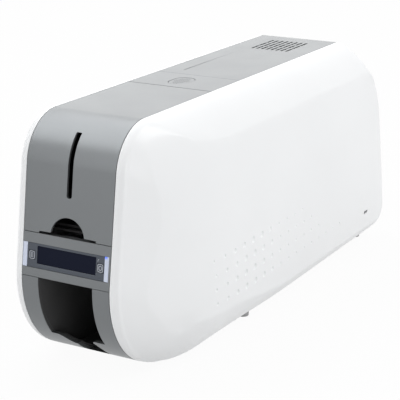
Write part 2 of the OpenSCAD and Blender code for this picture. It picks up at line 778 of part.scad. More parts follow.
module io_board() {
    color("#1f5a38") on_rear(fan_z) block(8, plate_x - 0.3, -20, -18.4, -34, 48);
}
module usb_port() {
    color(steel) on_rear(usb_z) difference() {
        block(port_x - 6, port_x + 6, -18.3, -0.6, -5.5, 5.5);
        block(port_x - 4.3, port_x + 4.3, -10, 1, -4, 4);
    }
}
module network_port() {
    color(steel) on_rear(net_z) difference() {
        block(port_x - 8, port_x + 8, -18.3, -0.6, -6.8, 6.8);
        block(port_x - 5.9, port_x + 5.9, -12, 1, -4.5, 3.5);
    }
}
module power_jack() {
    color(dark) on_rear(jack_z) translate([port_x, 0, 0]) rotate([90, 0, 0]) difference() {
        union() {
            translate([0, 0, 0.6]) cylinder(h = 17.7, r = 5.5);
            translate([-6, -6, 6]) cube([12, 12, 12.3]);
        }
        difference() {
            cylinder(h = 11, r = 3.6);
            cylinder(h = 12, r = 1);
        }
    }
}
rocker_half = 6.4;
rocker_h = 9;
rocker_tilt = 7;
rocker_depth = 2.2;
rocker_pin_r = 1;
module switch_housing() {
    color(dark) on_rear(switch_z) difference() {
        union() {
            block(port_x - 8.6, port_x + 8.6, -16, 0.6, -6.3, 6.3);
            block(port_x - 11, port_x + 11, 0.1, 1.5, -7.5, 7.5);
        }
        block(port_x - rocker_half - 1, port_x + rocker_half + 1, -7, 3, -rocker_h/2 - free_gap, rocker_h/2 + free_gap);
        rocker_pin(rocker_h/2 + 1.3, rocker_pin_r + running_gap);
    }
}
module rocker_pin(half, r) {
    translate([port_x, -rocker_depth, -half]) cylinder(h = 2*half, r = r);
}
module power_rocker() {
    color(dark) on_rear(switch_z) union() {
        translate([port_x, -rocker_depth, -rocker_h/2]) rotate(rocker_tilt)
            linear_extrude(rocker_h) polygon([[-rocker_half, 2.2], [-4, -3], [4, -3], [rocker_half, 2.2],
                [rocker_half, 3.4], [0, 2.6], [-rocker_half, 3.4]]);
        rocker_pin(rocker_h/2 + 1.2, rocker_pin_r);
    }
}
module fan_frame() {
    color(dark) on_rear(fan_z) translate([fan_x, -panel_t - 0.1, 0]) rotate([90, 0, 0]) difference() {
        union() {
            translate([-fan_side/2, -fan_side/2, 0]) cube([fan_side, fan_side, fan_t]);
        }
        translate([0, 0, -1]) cylinder(h = fan_t - 0.5, r = 18.6);
        for (a = [45:90:315]) rotate(a) translate([8, -4.5, -1]) cube([8.6, 9, fan_t + 2]);
        for (x = [-16, 16], y = [-16, 16]) translate([x, y, -1]) cylinder(h = fan_t + 2, r = screw_hole_r);
    }
}
module fan_rotor() {
    blades = 7;
    color("#303236") on_rear(fan_z) translate([fan_x, -panel_t - 1.2, 0]) rotate([90, 0, 0]) {
        cylinder(h = 6.6, r = 8);
        for (i = [0:blades - 1]) rotate(i*360/blades)
            translate([6, 0, 3.3]) rotate([35, 0, 0]) translate([0, -4, -0.5]) cube([11.6, 8, 1]);
    }
}

// Rollers
module driven_roller(y, rows) {
    x_bar(-roller_half, roller_half, roller_r, [y, drive_z]);
    x_bar(-belt_row[max(rows)] - belt_w - 1, plate_out + 1.5, shaft_r, [y, drive_z]);
    for (r = rows) x_bar(-belt_row[r] - belt_w, -belt_row[r], pulley_r, [y, drive_z]);
}
module idle_roller(y, z, r) {
    x_bar(-roller_half, roller_half, r, [y, z]);
    x_bar(-plate_out - 1.5, plate_out + 1.5, pinch_shaft_r, [y, z]);
}
module pickup_roller() {
    color("#7b5b3c") {
        x_bar(-15, 15, roller_r, [pickup_y, drive_z]);
        x_bar(-belt_row[0] - belt_w - 1, plate_out + 1.5, shaft_r, [pickup_y, drive_z]);
        x_bar(-belt_row[0] - belt_w, -belt_row[0], pulley_r, [pickup_y, drive_z]);
    }
}
module front_feed_roller() {
    color(rubber) driven_roller(front_feed_y, [0, 1]);
}
module middle_feed_roller() {
    color(rubber) driven_roller(middle_feed_y, [0, 1]);
}
module rear_feed_roller() {
    color(rubber) driven_roller(rear_feed_y, [1]);
}
module platen_shaft() {
    color(steel) {
        x_bar(-belt_row[2] - belt_w - 1, plate_out + 1.5, shaft_r, [platen_y, drive_z]);
        for (r = [0, 1]) x_bar(-belt_row[r] - belt_w, -belt_row[r], pulley_r, [platen_y, drive_z]);
        x_bar(-belt_row[2] - belt_w, -belt_row[2], platen_pulley_r, [platen_y, drive_z]);
    }
}
module platen_sleeve() {
    color(rubber) difference() {
        x_bar(-roller_half, roller_half, roller_r, [platen_y, drive_z]);
        x_bar(-roller_half - 1, roller_half + 1, shaft_r, [platen_y, drive_z]);
    }
}
module cleaning_roller() {
    color("#3f7fb0") idle_roller(clean_y, clean_z, roller_r);
}
module front_pinch_roller() {
    color(steel) idle_roller(front_feed_y, pinch_z, pinch_r);
}
module middle_pinch_roller() {
    color(steel) idle_roller(middle_feed_y, pinch_z, pinch_r);
}
module rear_pinch_roller() {
    color(steel) idle_roller(rear_feed_y, pinch_z, pinch_r);
}
module bushings() {
    color("#c8a45a") both_sides() for (b = bearings) difference() {
        union() {
            x_bar(plate_x - 0.1, plate_out + 0.8, b[1] + bush_wall, b[0]);
            x_bar(plate_out + 0.05, plate_out + 0.8, b[1] + bush_wall + 1, b[0]);
        }
        x_bar(plate_x - 1, plate_out + 2, b[1] + running_gap, b[0]);
    }
}
guide_y = [face_y + 103, flip_y - 32];
module card_guide() {
    rollers = [front_feed_y, middle_feed_y, platen_y, rear_feed_y];
    color(dark) difference() {
        union() {
            block(-plate_x + 0.15, plate_x - 0.15, guide_y[0], guide_y[1], card_z - 2.6, card_z - 0.4);
            both_sides() block(card_half + 0.6, card_half + 2, guide_y[0], guide_y[1], card_z - 0.5, card_z + 3);
        }
        for (y = rollers) {
            block(-roller_half - 0.6, roller_half + 0.6, y - roller_r, y + roller_r, card_z - 5, card_z + 5);
            block(-plate_x - 1, plate_x + 1, y - pulley_r, y + pulley_r, card_z - 0.6, card_z + 5);
        }
        block(-plate_x - 1, plate_x + 1, clean_y - 4, clean_y + 4, card_z + 1, card_z + 5);
    }
}

// Ribbon cassette
module spool(y, stub_end) {
    x_bar(-ribbon_half + 2, ribbon_half - 2, ribbon_r, [y, spool_z]);
    x_bar(-ribbon_half, ribbon_half, core_r, [y, spool_z]);
    x_bar(-cassette_x - cassette_t - 0.4, stub_end, core_r - 2, [y, spool_z]);
}
module supply_spool() {
    color("#33343a") spool(supply_y, cassette_x + cassette_t + 0.4);
}
module takeup_spool() {
    color("#33343a") spool(takeup_y, plate_out + 5);
}
module cassette_frame() {
    hub_r = core_r + 3;
    color("#5b6b86") difference() {
        union() {
            both_sides() across(cassette_x, cassette_x + cassette_t) {
                for (y = [supply_y, takeup_y]) translate([y, spool_z]) circle(hub_r);
                area(supply_y, takeup_y, spool_z - 6, spool_z + 6);
                // skids that drop onto the card guide
                for (y = [supply_y, takeup_y])
                    area(y - 3, y + 3, card_z - 0.2, spool_z);
            }
            for (y = [supply_y - 17.5, takeup_y + 17.5])
                x_bar(-cassette_x - cassette_t, cassette_x + cassette_t, 2.5, [y, spool_z]);
            both_sides() across(cassette_x, cassette_x + cassette_t) {
                area(supply_y - 18, supply_y, spool_z - 2.5, spool_z + 2.5);
                area(takeup_y, takeup_y + 18, spool_z - 2.5, spool_z + 2.5);
            }
        }
        for (y = [supply_y, takeup_y])
            x_bar(-cassette_x - 5, cassette_x + 5, core_r - 2 + running_gap, [y, spool_z]);
    }
}
// Turning station at the rear
module flip_frame() {
    disc = [card_half + 2, card_half + 4];
    color("#8a8f96") {
        both_sides() x_bar(disc[0], disc[1], flip_r, [flip_y, flip_z]);
        x_bar(disc[0], plate_out + 1.5, stub_r, [flip_y, flip_z]);
        x_bar(-belt_row[0] - belt_w - 1, -disc[0], stub_r, [flip_y, flip_z]);
        x_bar(-belt_row[0] - belt_w, -belt_row[0], flip_pulley_r, [flip_y, flip_z]);
        for (a = [0, 180], b = [-35, 0, 35])
            x_bar(-disc[0] - 0.1, disc[0] + 0.1, 2.5,
                [flip_y + 21*cos(90 + a + b), flip_z + 21*sin(90 + a + b)]);
        // two nips that hold the card while it turns
        for (side = [-1, 1], up = [-1, 1])
            x_bar(-disc[0] - 0.1, disc[0] + 0.1, 4, [flip_y + side*18, flip_z + up*(4 + card_t)]);
    }
}

// Motors, boards and belts
module motor(c) {
    difference() {
        block(-plate_x + 0.15, -plate_x + motor_len, c[0] - motor_side/2, c[0] + motor_side/2,
            c[1] - motor_side/2, c[1] + motor_side/2);
        x_bar(-plate_x - 1, -plate_x + 8, motor_shaft_r + running_gap, c);
    }
}
module motor_shaft(c, row, r) {
    x_bar(-belt_row[row] - belt_w - 1, -plate_x + 7, motor_shaft_r, c);
    x_bar(-belt_row[row] - belt_w, -belt_row[row], r, c);
}
module feed_motor() {
    color("#2d2e31") motor(motor_c);
}
module motor_pulley() {
    color(steel) motor_shaft(motor_c, 2, motor_pulley_r);
}
module flip_motor() {
    color("#2d2e31") motor(flip_motor_c);
}
module flip_pulley() {
    color(steel) motor_shaft(flip_motor_c, 0, pulley_r);
}
// The take-up spool's stub turns in the nose of its motor
module ribbon_motor() {
    color("#2d2e31") difference() {
        union() {
            x_bar(plate_out + 0.1, plate_out + 26, 14, [takeup_y, spool_z]);
            x_bar(plate_x - 0.1, plate_out + 1, core_r - 0.5, [takeup_y, spool_z]);
        }
        x_bar(plate_x - 1, plate_out + 6, core_r - 2 + running_gap, [takeup_y, spool_z]);
    }
}
// A belt runs round two pulleys: the ring round both, less what lies inside it
module belt_shape(a, ra, b, rb, grow) {
    d = norm(b - a);
    dir = atan2(b[1] - a[1], b[0] - a[0]);
    off = acos((ra - rb)/d);
    translate(a) circle(ra + grow);
    translate(b) circle(rb + grow);
    polygon([a + (ra + grow)*[cos(dir + off), sin(dir + off)], b + (rb + grow)*[cos(dir + off), sin(dir + off)],
        b + (rb + grow)*[cos(dir - off), sin(dir - off)], a + (ra + grow)*[cos(dir - off), sin(dir - off)]]);
}
module belt(row, a, ra, b, rb) {
    across(-belt_row[row] - belt_w + 0.3, -belt_row[row] - 0.3) difference() {
        belt_shape(a, ra, b, rb, belt_t + 0.3);
        belt_shape(a, ra, b, rb, 0.3);
    }
}
module drive_belts() {
    color("#151516") {
        belt(0, [pickup_y, drive_z], pulley_r, [front_feed_y, drive_z], pulley_r);
        belt(1, [front_feed_y, drive_z], pulley_r, [middle_feed_y, drive_z], pulley_r);
        belt(0, [middle_feed_y, drive_z], pulley_r, [platen_y, drive_z], pulley_r);
        belt(1, [platen_y, drive_z], pulley_r, [rear_feed_y, drive_z], pulley_r);
        belt(2, motor_c, motor_pulley_r, [platen_y, drive_z], platen_pulley_r);
        belt(0, flip_motor_c, pulley_r, [flip_y, flip_z], flip_pulley_r);
    }
}
board_y = [face_y + 175, face_y + 320];
board_z = [26, 92];
module main_board() {
    board_x = plate_out + 5;
    color("#1f5a38") {
        block(board_x, board_x + 1.6, board_y[0], board_y[1], board_z[0], board_z[1]);
        for (y = [board_y[0] + 6, board_y[1] - 6], z = [board_z[0] + 6, board_z[1] - 6])
            x_bar(plate_out + 0.1, board_x + 0.1, 3, [y, z]);
        block(board_x + 1.5, board_x + 4, face_y + 220, face_y + 240, 50, 70);
        block(board_x + 1.5, board_x + 12, face_y + 300, face_y + 312, 36, 80);
        for (i = [0:2]) x_bar(board_x + 1.5, board_x + 16, 5, [face_y + 192, 38 + i*16]);
    }
}

// Small hardware
module hinge_pins() {
    color(steel) {
        both_sides() x_bar(plate_x - 0.5, lug_x + lug_t + 0.6, hinge_pin_r, hopper_hinge);
        both_sides() x_bar(plate_x - 0.5, lug_x + lug_t + 0.6, lid_pin_r, nose_c);
        x_bar(lever_x[0] - 2.8, lever_x[1] + 2.8, hinge_pin_r, lever_c);
    }
}
module frame_screws() {
    color(steel) both_sides() for (s = screw_at) {
        x_bar(plate_x - 0.5, web_x + web_t + 0.1, screw_r, s);
        x_bar(web_x + web_t + 0.05, web_x + web_t + screw_head_h, screw_head_r, s);
    }
}
// Bars that tie the plates together, and posts from the plates out to the side shells
module frame_spacers() {
    color(steel) {
        for (t = tie_at) x_bar(-plate_x + 0.05, plate_x - 0.05, tie_r, t);
        both_sides() for (y = standoff_y)
            x_bar(plate_out + 0.05, half_body - shell_wall - 0.1, standoff_r, [y, widest_z]);
    }
}

base_tray();
left_side_plate();
right_side_plate();
left_side_shell();
right_side_shell();
frame_spacers();
display_bar();
display_bezel();
display_window();
display_board();
light_bars();
output_fascia();
output_tray();
card_hopper();
mid_cover();
rear_panel();
card_guide();
cassette_frame();
feed_motor();
ribbon_motor();
flip_motor();
main_board();
io_board();
usb_port();
network_port();
power_jack();
fan_frame();
bushings();
hinge_pins();
frame_screws();
feet();
drive_belts();
switch_housing();
hopper_cover();
top_cover();
head_bracket();
print_head();
head_heat_sink();
open_button();
release_lever();
left_button();
right_button();
power_rocker();
card_weight();
platen_shaft();
platen_sleeve();
pickup_roller();
cleaning_roller();
front_feed_roller();
middle_feed_roller();
rear_feed_roller();
front_pinch_roller();
middle_pinch_roller();
rear_pinch_roller();
supply_spool();
takeup_spool();
flip_frame();
fan_rotor();
motor_pulley();
flip_pulley();
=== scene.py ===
"""Desktop card printer: the finished skin, display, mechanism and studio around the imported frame."""
import json
import math

import bmesh
import bpy
from bpy.props import FloatProperty, FloatVectorProperty, PointerProperty
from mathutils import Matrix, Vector


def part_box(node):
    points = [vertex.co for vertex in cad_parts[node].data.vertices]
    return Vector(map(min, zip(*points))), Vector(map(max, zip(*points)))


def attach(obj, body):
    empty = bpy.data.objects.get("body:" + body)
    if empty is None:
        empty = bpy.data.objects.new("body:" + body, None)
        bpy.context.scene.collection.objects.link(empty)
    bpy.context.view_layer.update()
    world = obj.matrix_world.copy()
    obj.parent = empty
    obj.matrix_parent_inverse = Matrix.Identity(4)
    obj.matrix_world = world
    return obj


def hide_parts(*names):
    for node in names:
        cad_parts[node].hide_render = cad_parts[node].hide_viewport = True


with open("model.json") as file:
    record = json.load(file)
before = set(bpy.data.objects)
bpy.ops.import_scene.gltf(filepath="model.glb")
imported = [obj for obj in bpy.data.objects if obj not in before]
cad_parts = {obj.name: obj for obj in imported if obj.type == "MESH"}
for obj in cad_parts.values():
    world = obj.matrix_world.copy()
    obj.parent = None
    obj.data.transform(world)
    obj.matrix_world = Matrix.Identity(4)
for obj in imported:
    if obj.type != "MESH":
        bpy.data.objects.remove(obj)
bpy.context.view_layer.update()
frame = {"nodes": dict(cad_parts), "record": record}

bl_info = {
    "name": "Card Printer Finish",
    "version": (1, 0, 0),
    "blender": (4, 5, 0),
    "location": "3D View > Sidebar > Printer",
    "description": "Finishes a desktop card printer around its packed mechanical frame",
    "category": "Object",
}

MM = 0.001
SLOT_OF = {s["node"]: s["material_slot"] for s in frame["record"]["subparts"]}
BODY_OF = {n: b for b, members in frame["record"]["behaviour"]["bodies"].items() for n in members}


# ---------------------------------------------------------------- sizes and colours
def length(name, text, value, low=0.0, high=1.0):
    return FloatProperty(name=name, description=text, default=value, min=low, max=high, unit="LENGTH")


def colour(name, text, rgb):
    return FloatVectorProperty(name=name, description=text, default=rgb, size=3, subtype="COLOR",
                               min=0.0, max=1.0)


class PrinterSizes(bpy.types.PropertyGroup):
    """Sizes of the outer body"""
    body_w: length("Body width", "Width over both side shells", 173 * MM)
    body_h: length("Body height", "Height from the table to the top covers", 217.4 * MM)
    top_l: length("Top length", "Length of the top at the seam level of the front face", 437.7 * MM)
    foot_h: length("Foot height", "Height of the underside above the table", 2.8 * MM)
    strip_w: length("Strip width", "Width of the grey centre strip", 86 * MM)
    rim_w: length("Rim width", "Flat rim of a side shell beside the strip", 6 * MM)
    shell_t: length("Shell wall", "Wall of the side shells", 2.4 * MM)
    groove: length("Rim groove", "Depth of the soft groove beside the rim", 0.9 * MM)
    dimple_d: length("Dimple diameter", "Diameter of the largest side dimples", 6.6 * MM)
    dimple_pitch: length("Dimple pitch", "Distance between the dimples of one row", 17 * MM)
    dot_d: length("Dot diameter", "Diameter of the grip dots of the open button", 1.25 * MM)
    edge_r: length("Edge radius", "Small radius on the edges of the moulded covers", 0.35 * MM)


class PrinterColours(bpy.types.PropertyGroup):
    """Base colours of the main finishes"""
    strip: colour("Strip grey", "Satin grey of the centre strip", (0.180, 0.190, 0.197))
    shell: colour("Shell white", "White of the side shells", (0.83, 0.84, 0.85))
    dark: colour("Tray black", "Black of the trays and guides", (0.068, 0.068, 0.069))
    bezel: colour("Bezel slate", "Slate of the display bezel", (0.055, 0.066, 0.086))
    screen: colour("Screen navy", "Unlit screen", (0.0055, 0.0075, 0.018))
    light: colour("Light bars", "Frosted light bars", (0.60, 0.65, 0.78))
    icon: colour("Icon print", "Printed key symbols", (0.38, 0.40, 0.44))


class StudioSettings(bpy.types.PropertyGroup):
    """Camera and lights"""
    lens: FloatProperty(name="Lens", description="Focal length on a 36 mm sensor", default=120.398,
                        min=10, max=300, unit="CAMERA")
    sky: FloatProperty(name="Sky", description="Strength of the surrounding light", default=0.50,
                       min=0, max=2)
    top_light: FloatProperty(name="Top light", description="Power of the overhead softbox in watts",
                             default=38, min=0, max=500)
    rear_light: FloatProperty(name="Rear light", description="Power of the softbox behind in watts",
                              default=14.5, min=0, max=500)


def sizes():
    return bpy.context.scene.printer_sizes


def colours():
    return bpy.context.scene.printer_colours


# ---------------------------------------------------------------- shader nodes
class Wire:
    """A node socket that builds Math nodes when it is used in an expression."""

    def __init__(self, mat, socket):
        self.mat = mat
        self.socket = socket

    def math(self, operation, *others):
        return self.mat.add("ShaderNodeMath", {"operation": operation}, dict(enumerate((self, *others))))

    def __add__(self, other):
        return self.math("ADD", other)

    def __rsub__(self, other):
        return self.mat.add("ShaderNodeMath", {"operation": "SUBTRACT"}, {0: other, 1: self})

    def __mul__(self, other):
        return self.math("MULTIPLY", other)

    __radd__ = __add__

    def step(self, low, high):
        """0 below low, 1 above high, smooth between."""
        return self.mat.add("ShaderNodeMapRange", {"interpolation_type": "SMOOTHSTEP"},
                            {"Value": self, "From Min": low, "From Max": high})


class Finish:
    """A procedural material on object coordinates."""

    def __init__(self, name, base, roughness=0.5, metallic=0.0, **fixed):
        self.material = bpy.data.materials.new(name)
        self.material.use_nodes = True
        self.tree = self.material.node_tree
        self.tree.nodes.clear()
        self.shader = self.tree.nodes.new("ShaderNodeBsdfPrincipled")
        out = self.tree.nodes.new("ShaderNodeOutputMaterial")
        self.tree.links.new(self.shader.outputs["BSDF"], out.inputs["Surface"])
        self.set("Base Color", (*base, 1.0))
        self.set("Roughness", roughness)
        self.set("Metallic", metallic)
        for key, value in fixed.items():
            self.set(key.replace("_", " "), value)
        self.where = Wire(self, self.tree.nodes.new("ShaderNodeTexCoord").outputs["Object"])

    def add(self, kind, settings=None, inputs=None, output=0):
        node = self.tree.nodes.new(kind)
        for key, value in (settings or {}).items():
            setattr(node, key, value)
        for key, value in (inputs or {}).items():
            self.feed(node.inputs[key], value)
        return Wire(self, node.outputs[output])

    def feed(self, socket, value):
        if isinstance(value, Wire):
            self.tree.links.new(value.socket, socket)
        else:
            socket.default_value = value

    def set(self, key, value):
        self.feed(self.shader.inputs[key], value)

    def noise(self, scale, detail=2.0, where=None):
        return self.add("ShaderNodeTexNoise", None,
                        {"Vector": where or self.where, "Scale": scale, "Detail": detail})

    def stretched(self, x, y, z):
        """Object coordinates scaled along each axis."""
        return self.add("ShaderNodeMapping", {"vector_type": "POINT"},
                        {"Vector": self.where, "Scale": (x, y, z)})

    def axes(self):
        node = self.add("ShaderNodeSeparateXYZ", None, {"Vector": self.where}).socket.node
        return [Wire(self, s) for s in node.outputs]

    def mix(self, factor, first, second):
        node = self.tree.nodes.new("ShaderNodeMix")
        node.data_type = "RGBA"
        self.feed(node.inputs[0], factor)
        for socket, value in ((node.inputs[6], first), (node.inputs[7], second)):
            if not isinstance(value, Wire) and len(value) == 3:
                value = (*value, 1.0)
            self.feed(socket, value)
        return Wire(self, node.outputs[2])

    def bump(self, height, depth):
        self.set("Normal", self.add("ShaderNodeBump", None,
                                    {"Height": height, "Distance": depth, "Strength": 1.0}))


def shade(rgb, factor):
    """A colour made darker or lighter."""
    return tuple(min(1.0, c * factor) for c in rgb[:3])


def moulded(name, rgb, roughness, grain=900.0, depth=0.00004, blotch=0.03, **fixed):
    """Moulded plastic: fine spark-eroded grain, faint flow blotches and handled patches."""
    f = Finish(name, rgb, roughness, **fixed)
    flow = f.noise(9.0, 3.0)
    f.set("Base Color", f.mix(flow.step(0.3, 0.7), shade(rgb, 1.0 - blotch), shade(rgb, 1.0 + blotch)))
    fine = f.noise(grain, 2.0)
    handled = f.noise(26.0, 4.0)
    f.set("Roughness", roughness - 0.05 + handled * 0.08 + fine * 0.03)
    f.bump(fine, depth)
    return f


def rubber(name, rgb, dust=0.25):
    """Matt rubber with fine pores and a little card dust."""
    f = Finish(name, rgb, 0.8)
    pores = f.noise(1600.0, 3.0)
    dusty = f.noise(70.0, 5.0).step(0.5, 0.75) * dust
    f.set("Base Color", f.mix(dusty, rgb, tuple(0.5 * c + 0.22 for c in rgb)))
    f.set("Roughness", 0.68 + pores * 0.2)
    f.bump(pores, 0.00006)
    return f


def metal(name, rgb, roughness, brush=(1.0, 1.0, 1.0), depth=0.00001, flake=0.0):
    """Metal with drawn or rolled streaks, and a faint zinc flake when asked for."""
    f = Finish(name, rgb, roughness, 1.0)
    streak = f.noise(260.0, 4.0, where=f.stretched(*brush))
    tone = f.mix(streak.step(0.25, 0.75), shade(rgb, 0.86), shade(rgb, 1.06))
    if flake:
        cell = f.add("ShaderNodeTexVoronoi", {"feature": "F1"}, {"Vector": f.where, "Scale": 160.0}, output=1)
        lit = f.add("ShaderNodeSeparateColor", None, {"Color": cell})
        tone = f.mix(lit * flake, tone, shade(rgb, 1.25))
    f.set("Base Color", tone)
    f.set("Roughness", roughness - 0.08 + streak * 0.18)
    f.bump(streak, depth)
    return f


def circuit(name):
    """Green solder mask with tracks, pads and tinned vias."""
    mask = (0.012, 0.10, 0.045)
    track = (0.03, 0.17, 0.075)
    tin = (0.62, 0.62, 0.58)
    f = Finish(name, mask, 0.35, Coat_Weight=0.3)
    grid = f.add("ShaderNodeTexVoronoi", {"feature": "DISTANCE_TO_EDGE", "distance": "EUCLIDEAN"},
                 {"Vector": f.stretched(1.0, 1.0, 1.7), "Scale": 170.0, "Randomness": 0.55})
    lines = 1 - grid.step(0.03, 0.06)
    dots = f.add("ShaderNodeTexVoronoi", {"feature": "F1"},
                 {"Vector": f.where, "Scale": 230.0, "Randomness": 0.35})
    via = 1 - dots.step(0.14, 0.18)
    f.set("Base Color", f.mix(via, f.mix(lines, mask, track), tin))
    f.set("Metallic", via * 0.9)
    f.set("Roughness", 0.34 + lines * 0.08)
    f.bump(lines + via * 1.5, 0.00003)
    return f


def ribbon_roll(name):
    """Wound film seen on the end as fine rings, and on the roll as panel colours."""
    f = Finish(name, (0.03, 0.03, 0.035), 0.28, Coat_Weight=0.5)
    bands = f.add("ShaderNodeTexWave", {"wave_type": "BANDS", "bands_direction": "Z"},
                  {"Vector": f.where, "Scale": 420.0, "Distortion": 0.6, "Detail": 1.0})
    f.set("Base Color", f.mix(bands * 0.5, (0.018, 0.016, 0.022), (0.09, 0.075, 0.10)))
    f.set("Roughness", 0.22 + bands * 0.16)
    f.bump(bands, 0.00002)
    return f


def ribbon_film(name):
    """Thin dyed film between the rolls, one colour panel following the other."""
    f = Finish(name, (0.5, 0.35, 0.03), 0.2, Coat_Weight=0.4)
    x, y, z = f.axes()
    panel = y.step(0.0405, 0.0415)
    ripple = f.noise(40.0, 2.0, where=f.stretched(0.3, 1.0, 1.0))
    f.set("Base Color", f.mix(panel, (0.55, 0.38, 0.02), (0.30, 0.012, 0.085)))
    f.set("Roughness", 0.16 + ripple * 0.12)
    f.bump(ripple, 0.0002)
    return f


def light_guide(name, rgb):
    """Frosted bar with a faint painted glow all over, and a painted blue glint that glows more at its upper
    end on the right.
    """
    f = Finish(name, rgb, 0.3, Coat_Weight=0.35)
    x, y, z = f.axes()
    frost = f.noise(420.0, 3.0)
    # painted blue glint: blue base colour at the right bar's upper end
    glint = z.step(0.1116, 0.1148) * x.step(0.03, 0.036) * (1 - x.step(0.0388, 0.0402))
    f.set("Base Color", f.mix(glint * 0.85, f.mix(frost * 0.3, rgb, shade(rgb, 0.9)), (0.05, 0.16, 0.85)))
    # painted glow: the whole bar glows faintly, the glint more
    f.set("Emission Color", f.mix(glint, (0.02, 0.022, 0.03), (0.02, 0.10, 0.75)))
    f.set("Emission Strength", 0.5)
    f.set("Roughness", 0.26 + frost * 0.12)
    return f


def screen(name, rgb):
    """Dark glass over an unlit panel with a barely visible cell raster."""
    f = Finish(name, rgb, 0.3, Specular_IOR_Level=0.07)
    raster = f.add("ShaderNodeTexWave", {"wave_type": "BANDS", "bands_direction": "X"},
                   {"Vector": f.where, "Scale": 320.0})
    haze = f.noise(30.0, 3.0)
    f.set("Base Color", f.mix(raster * 0.25, f.mix(haze * 0.5, rgb, shade(rgb, 1.7)), shade(rgb, 0.7)))
    f.set("Roughness", 0.28 + haze * 0.08)
    return f


FINISHES = {}


def finishes():
    """Every finish by the record's slot name, made once."""
    if FINISHES:
        return FINISHES
    c = colours()
    made = {
        "grey_plastic": moulded("grey_plastic", c.strip[:], 0.36, 1100.0, 0.00003, 0.02, metallic=0.62),
        "white_plastic": moulded("white_plastic", c.shell[:], 0.36, 800.0, 0.00002, 0.008, Coat_Weight=0.15),
        "black_plastic": moulded("black_plastic", c.dark[:], 0.46, 700.0, 0.00005, 0.15),
        "panel_plastic": moulded("panel_plastic", c.bezel[:], 0.30, 1300.0, 0.00002, 0.05),
        "screen_glass": screen("screen_glass", c.screen[:]),
        "light_plastic": light_guide("light_plastic", c.light[:]),
        "circuit_board": circuit("circuit_board"),
        "black_rubber": rubber("black_rubber", (0.018, 0.018, 0.019)),
        "hopper_black": moulded("hopper_black", (0.024, 0.024, 0.025), 0.6, 700.0, 0.00005, 0.15),
        "ribbon_film": ribbon_film("ribbon_film"),
        "foot_rubber": rubber("foot_rubber", (0.40, 0.40, 0.405)),
        # grip dots: a darker grey than the strip, painted shade that makes the small raised dots show
        "grip_dots": moulded("grip_dots", (0.12, 0.125, 0.13), 0.55, 1500.0, 0.00001, 0.03),
        "tan_rubber": rubber("tan_rubber", (0.36, 0.24, 0.13), 0.35),
        "blue_rubber": rubber("blue_rubber", (0.045, 0.19, 0.42), 0.3),
        "plated_steel": metal("plated_steel", (0.62, 0.63, 0.64), 0.34, (1, 0.2, 1), 0.00001, 0.35),
        "brass_bush": metal("brass_bush", (0.55, 0.36, 0.16), 0.38, (1, 3, 3)),
        "aluminium_part": metal("aluminium_part", (0.72, 0.73, 0.74), 0.36, (1, 0.15, 1)),
        "motor_case": metal("motor_case", (0.30, 0.30, 0.31), 0.42, (0.3, 1, 1)),
        "dark_metal": metal("dark_metal", (0.10, 0.10, 0.11), 0.40, (0.3, 1, 1)),
        "cassette_plastic": moulded("cassette_plastic", (0.42, 0.46, 0.50), 0.34, 900.0, 0.00004, 0.05),
        "ribbon_roll": ribbon_roll("ribbon_roll"),
        "icon_print": moulded("icon_print", c.icon[:], 0.4, 2000.0, 0.00001, 0.04),
    }
    FINISHES.update({k: v.material for k, v in made.items()})
    return FINISHES


# ---------------------------------------------------------------- mesh helpers
def mesh_of(name, bm):
    """Turns a BMesh into a mesh and frees it."""
    mesh = bpy.data.meshes.new(name)
    bm.to_mesh(mesh)
    bm.free()
    return mesh


def linked(name, data):
    """A new object in the scene, at the origin."""
    obj = bpy.data.objects.new(name, data)
    bpy.context.scene.collection.objects.link(obj)
    return obj


def evaluated(obj):
    """The object's mesh as its modifiers leave it."""
    bpy.context.view_layer.update()
    return bpy.data.meshes.new_from_object(obj.evaluated_get(bpy.context.evaluated_depsgraph_get()))


def new_object(name, bm_or_mesh, slot_name, body, replaced=(), finish=None, crease=math.radians(32)):
    """A finished piece: smooth where it is soft, sharp where it is creased, riding on its body."""
    if isinstance(bm_or_mesh, bmesh.types.BMesh):
        mesh = mesh_of(name, bm_or_mesh)
    else:
        mesh = bm_or_mesh
        mesh.name = name
    mesh.materials.clear()
    mesh.materials.append(finishes()[finish or slot_name])
    for poly in mesh.polygons:
        poly.material_index = 0
    mesh.shade_smooth()
    mesh.set_sharp_from_angle(angle=crease)
    obj = linked(name, mesh)
    obj.data = weighed(obj)
    bpy.data.meshes.remove(mesh)
    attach(obj, body)
    if replaced:
        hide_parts(*replaced)
    return obj


def weighed(obj):
    """The object's mesh with normals weighed by face area, so large flats stay flat."""
    mod = obj.modifiers.new("weigh", "WEIGHTED_NORMAL")
    mod.keep_sharp = True
    mod.weight = 50
    mesh = evaluated(obj)
    obj.modifiers.remove(mod)
    return mesh


def node_mesh(node):
    """A merged, untriangulated copy of a CAD node's mesh."""
    bm = bmesh.new()
    bm.from_mesh(frame["nodes"][node].data)
    bmesh.ops.remove_doubles(bm, verts=bm.verts, dist=1e-6)
    bmesh.ops.dissolve_limit(bm, angle_limit=math.radians(0.6), verts=bm.verts, edges=bm.edges,
                             delimit={"NORMAL"})
    return bm


def eased(node, radius, name=None, finish=None, segments=2, limit=math.radians(35), reshape=None):
    """A CAD node shown with its crisp edges rounded off."""
    bm = node_mesh(node)
    if reshape:
        reshape(bm)
    sharp = [e for e in bm.edges if e.is_manifold and e.calc_face_angle(0.0) > limit]
    bmesh.ops.bevel(bm, geom=sharp, offset=radius, offset_type="OFFSET", segments=segments,
                    profile=0.5, affect="EDGES", clamp_overlap=True)
    bmesh.ops.triangulate(bm, faces=[f for f in bm.faces if len(f.verts) > 4])
    return new_object(name or node + "_finish", bm, SLOT_OF[node], BODY_OF[node], [node], finish)


def repaint(node, finish=None):
    """A CAD node that stays as it is gets its procedural finish."""
    obj = frame["nodes"][node]
    obj.data.materials.clear()
    obj.data.materials.append(finishes()[finish or SLOT_OF[node]])


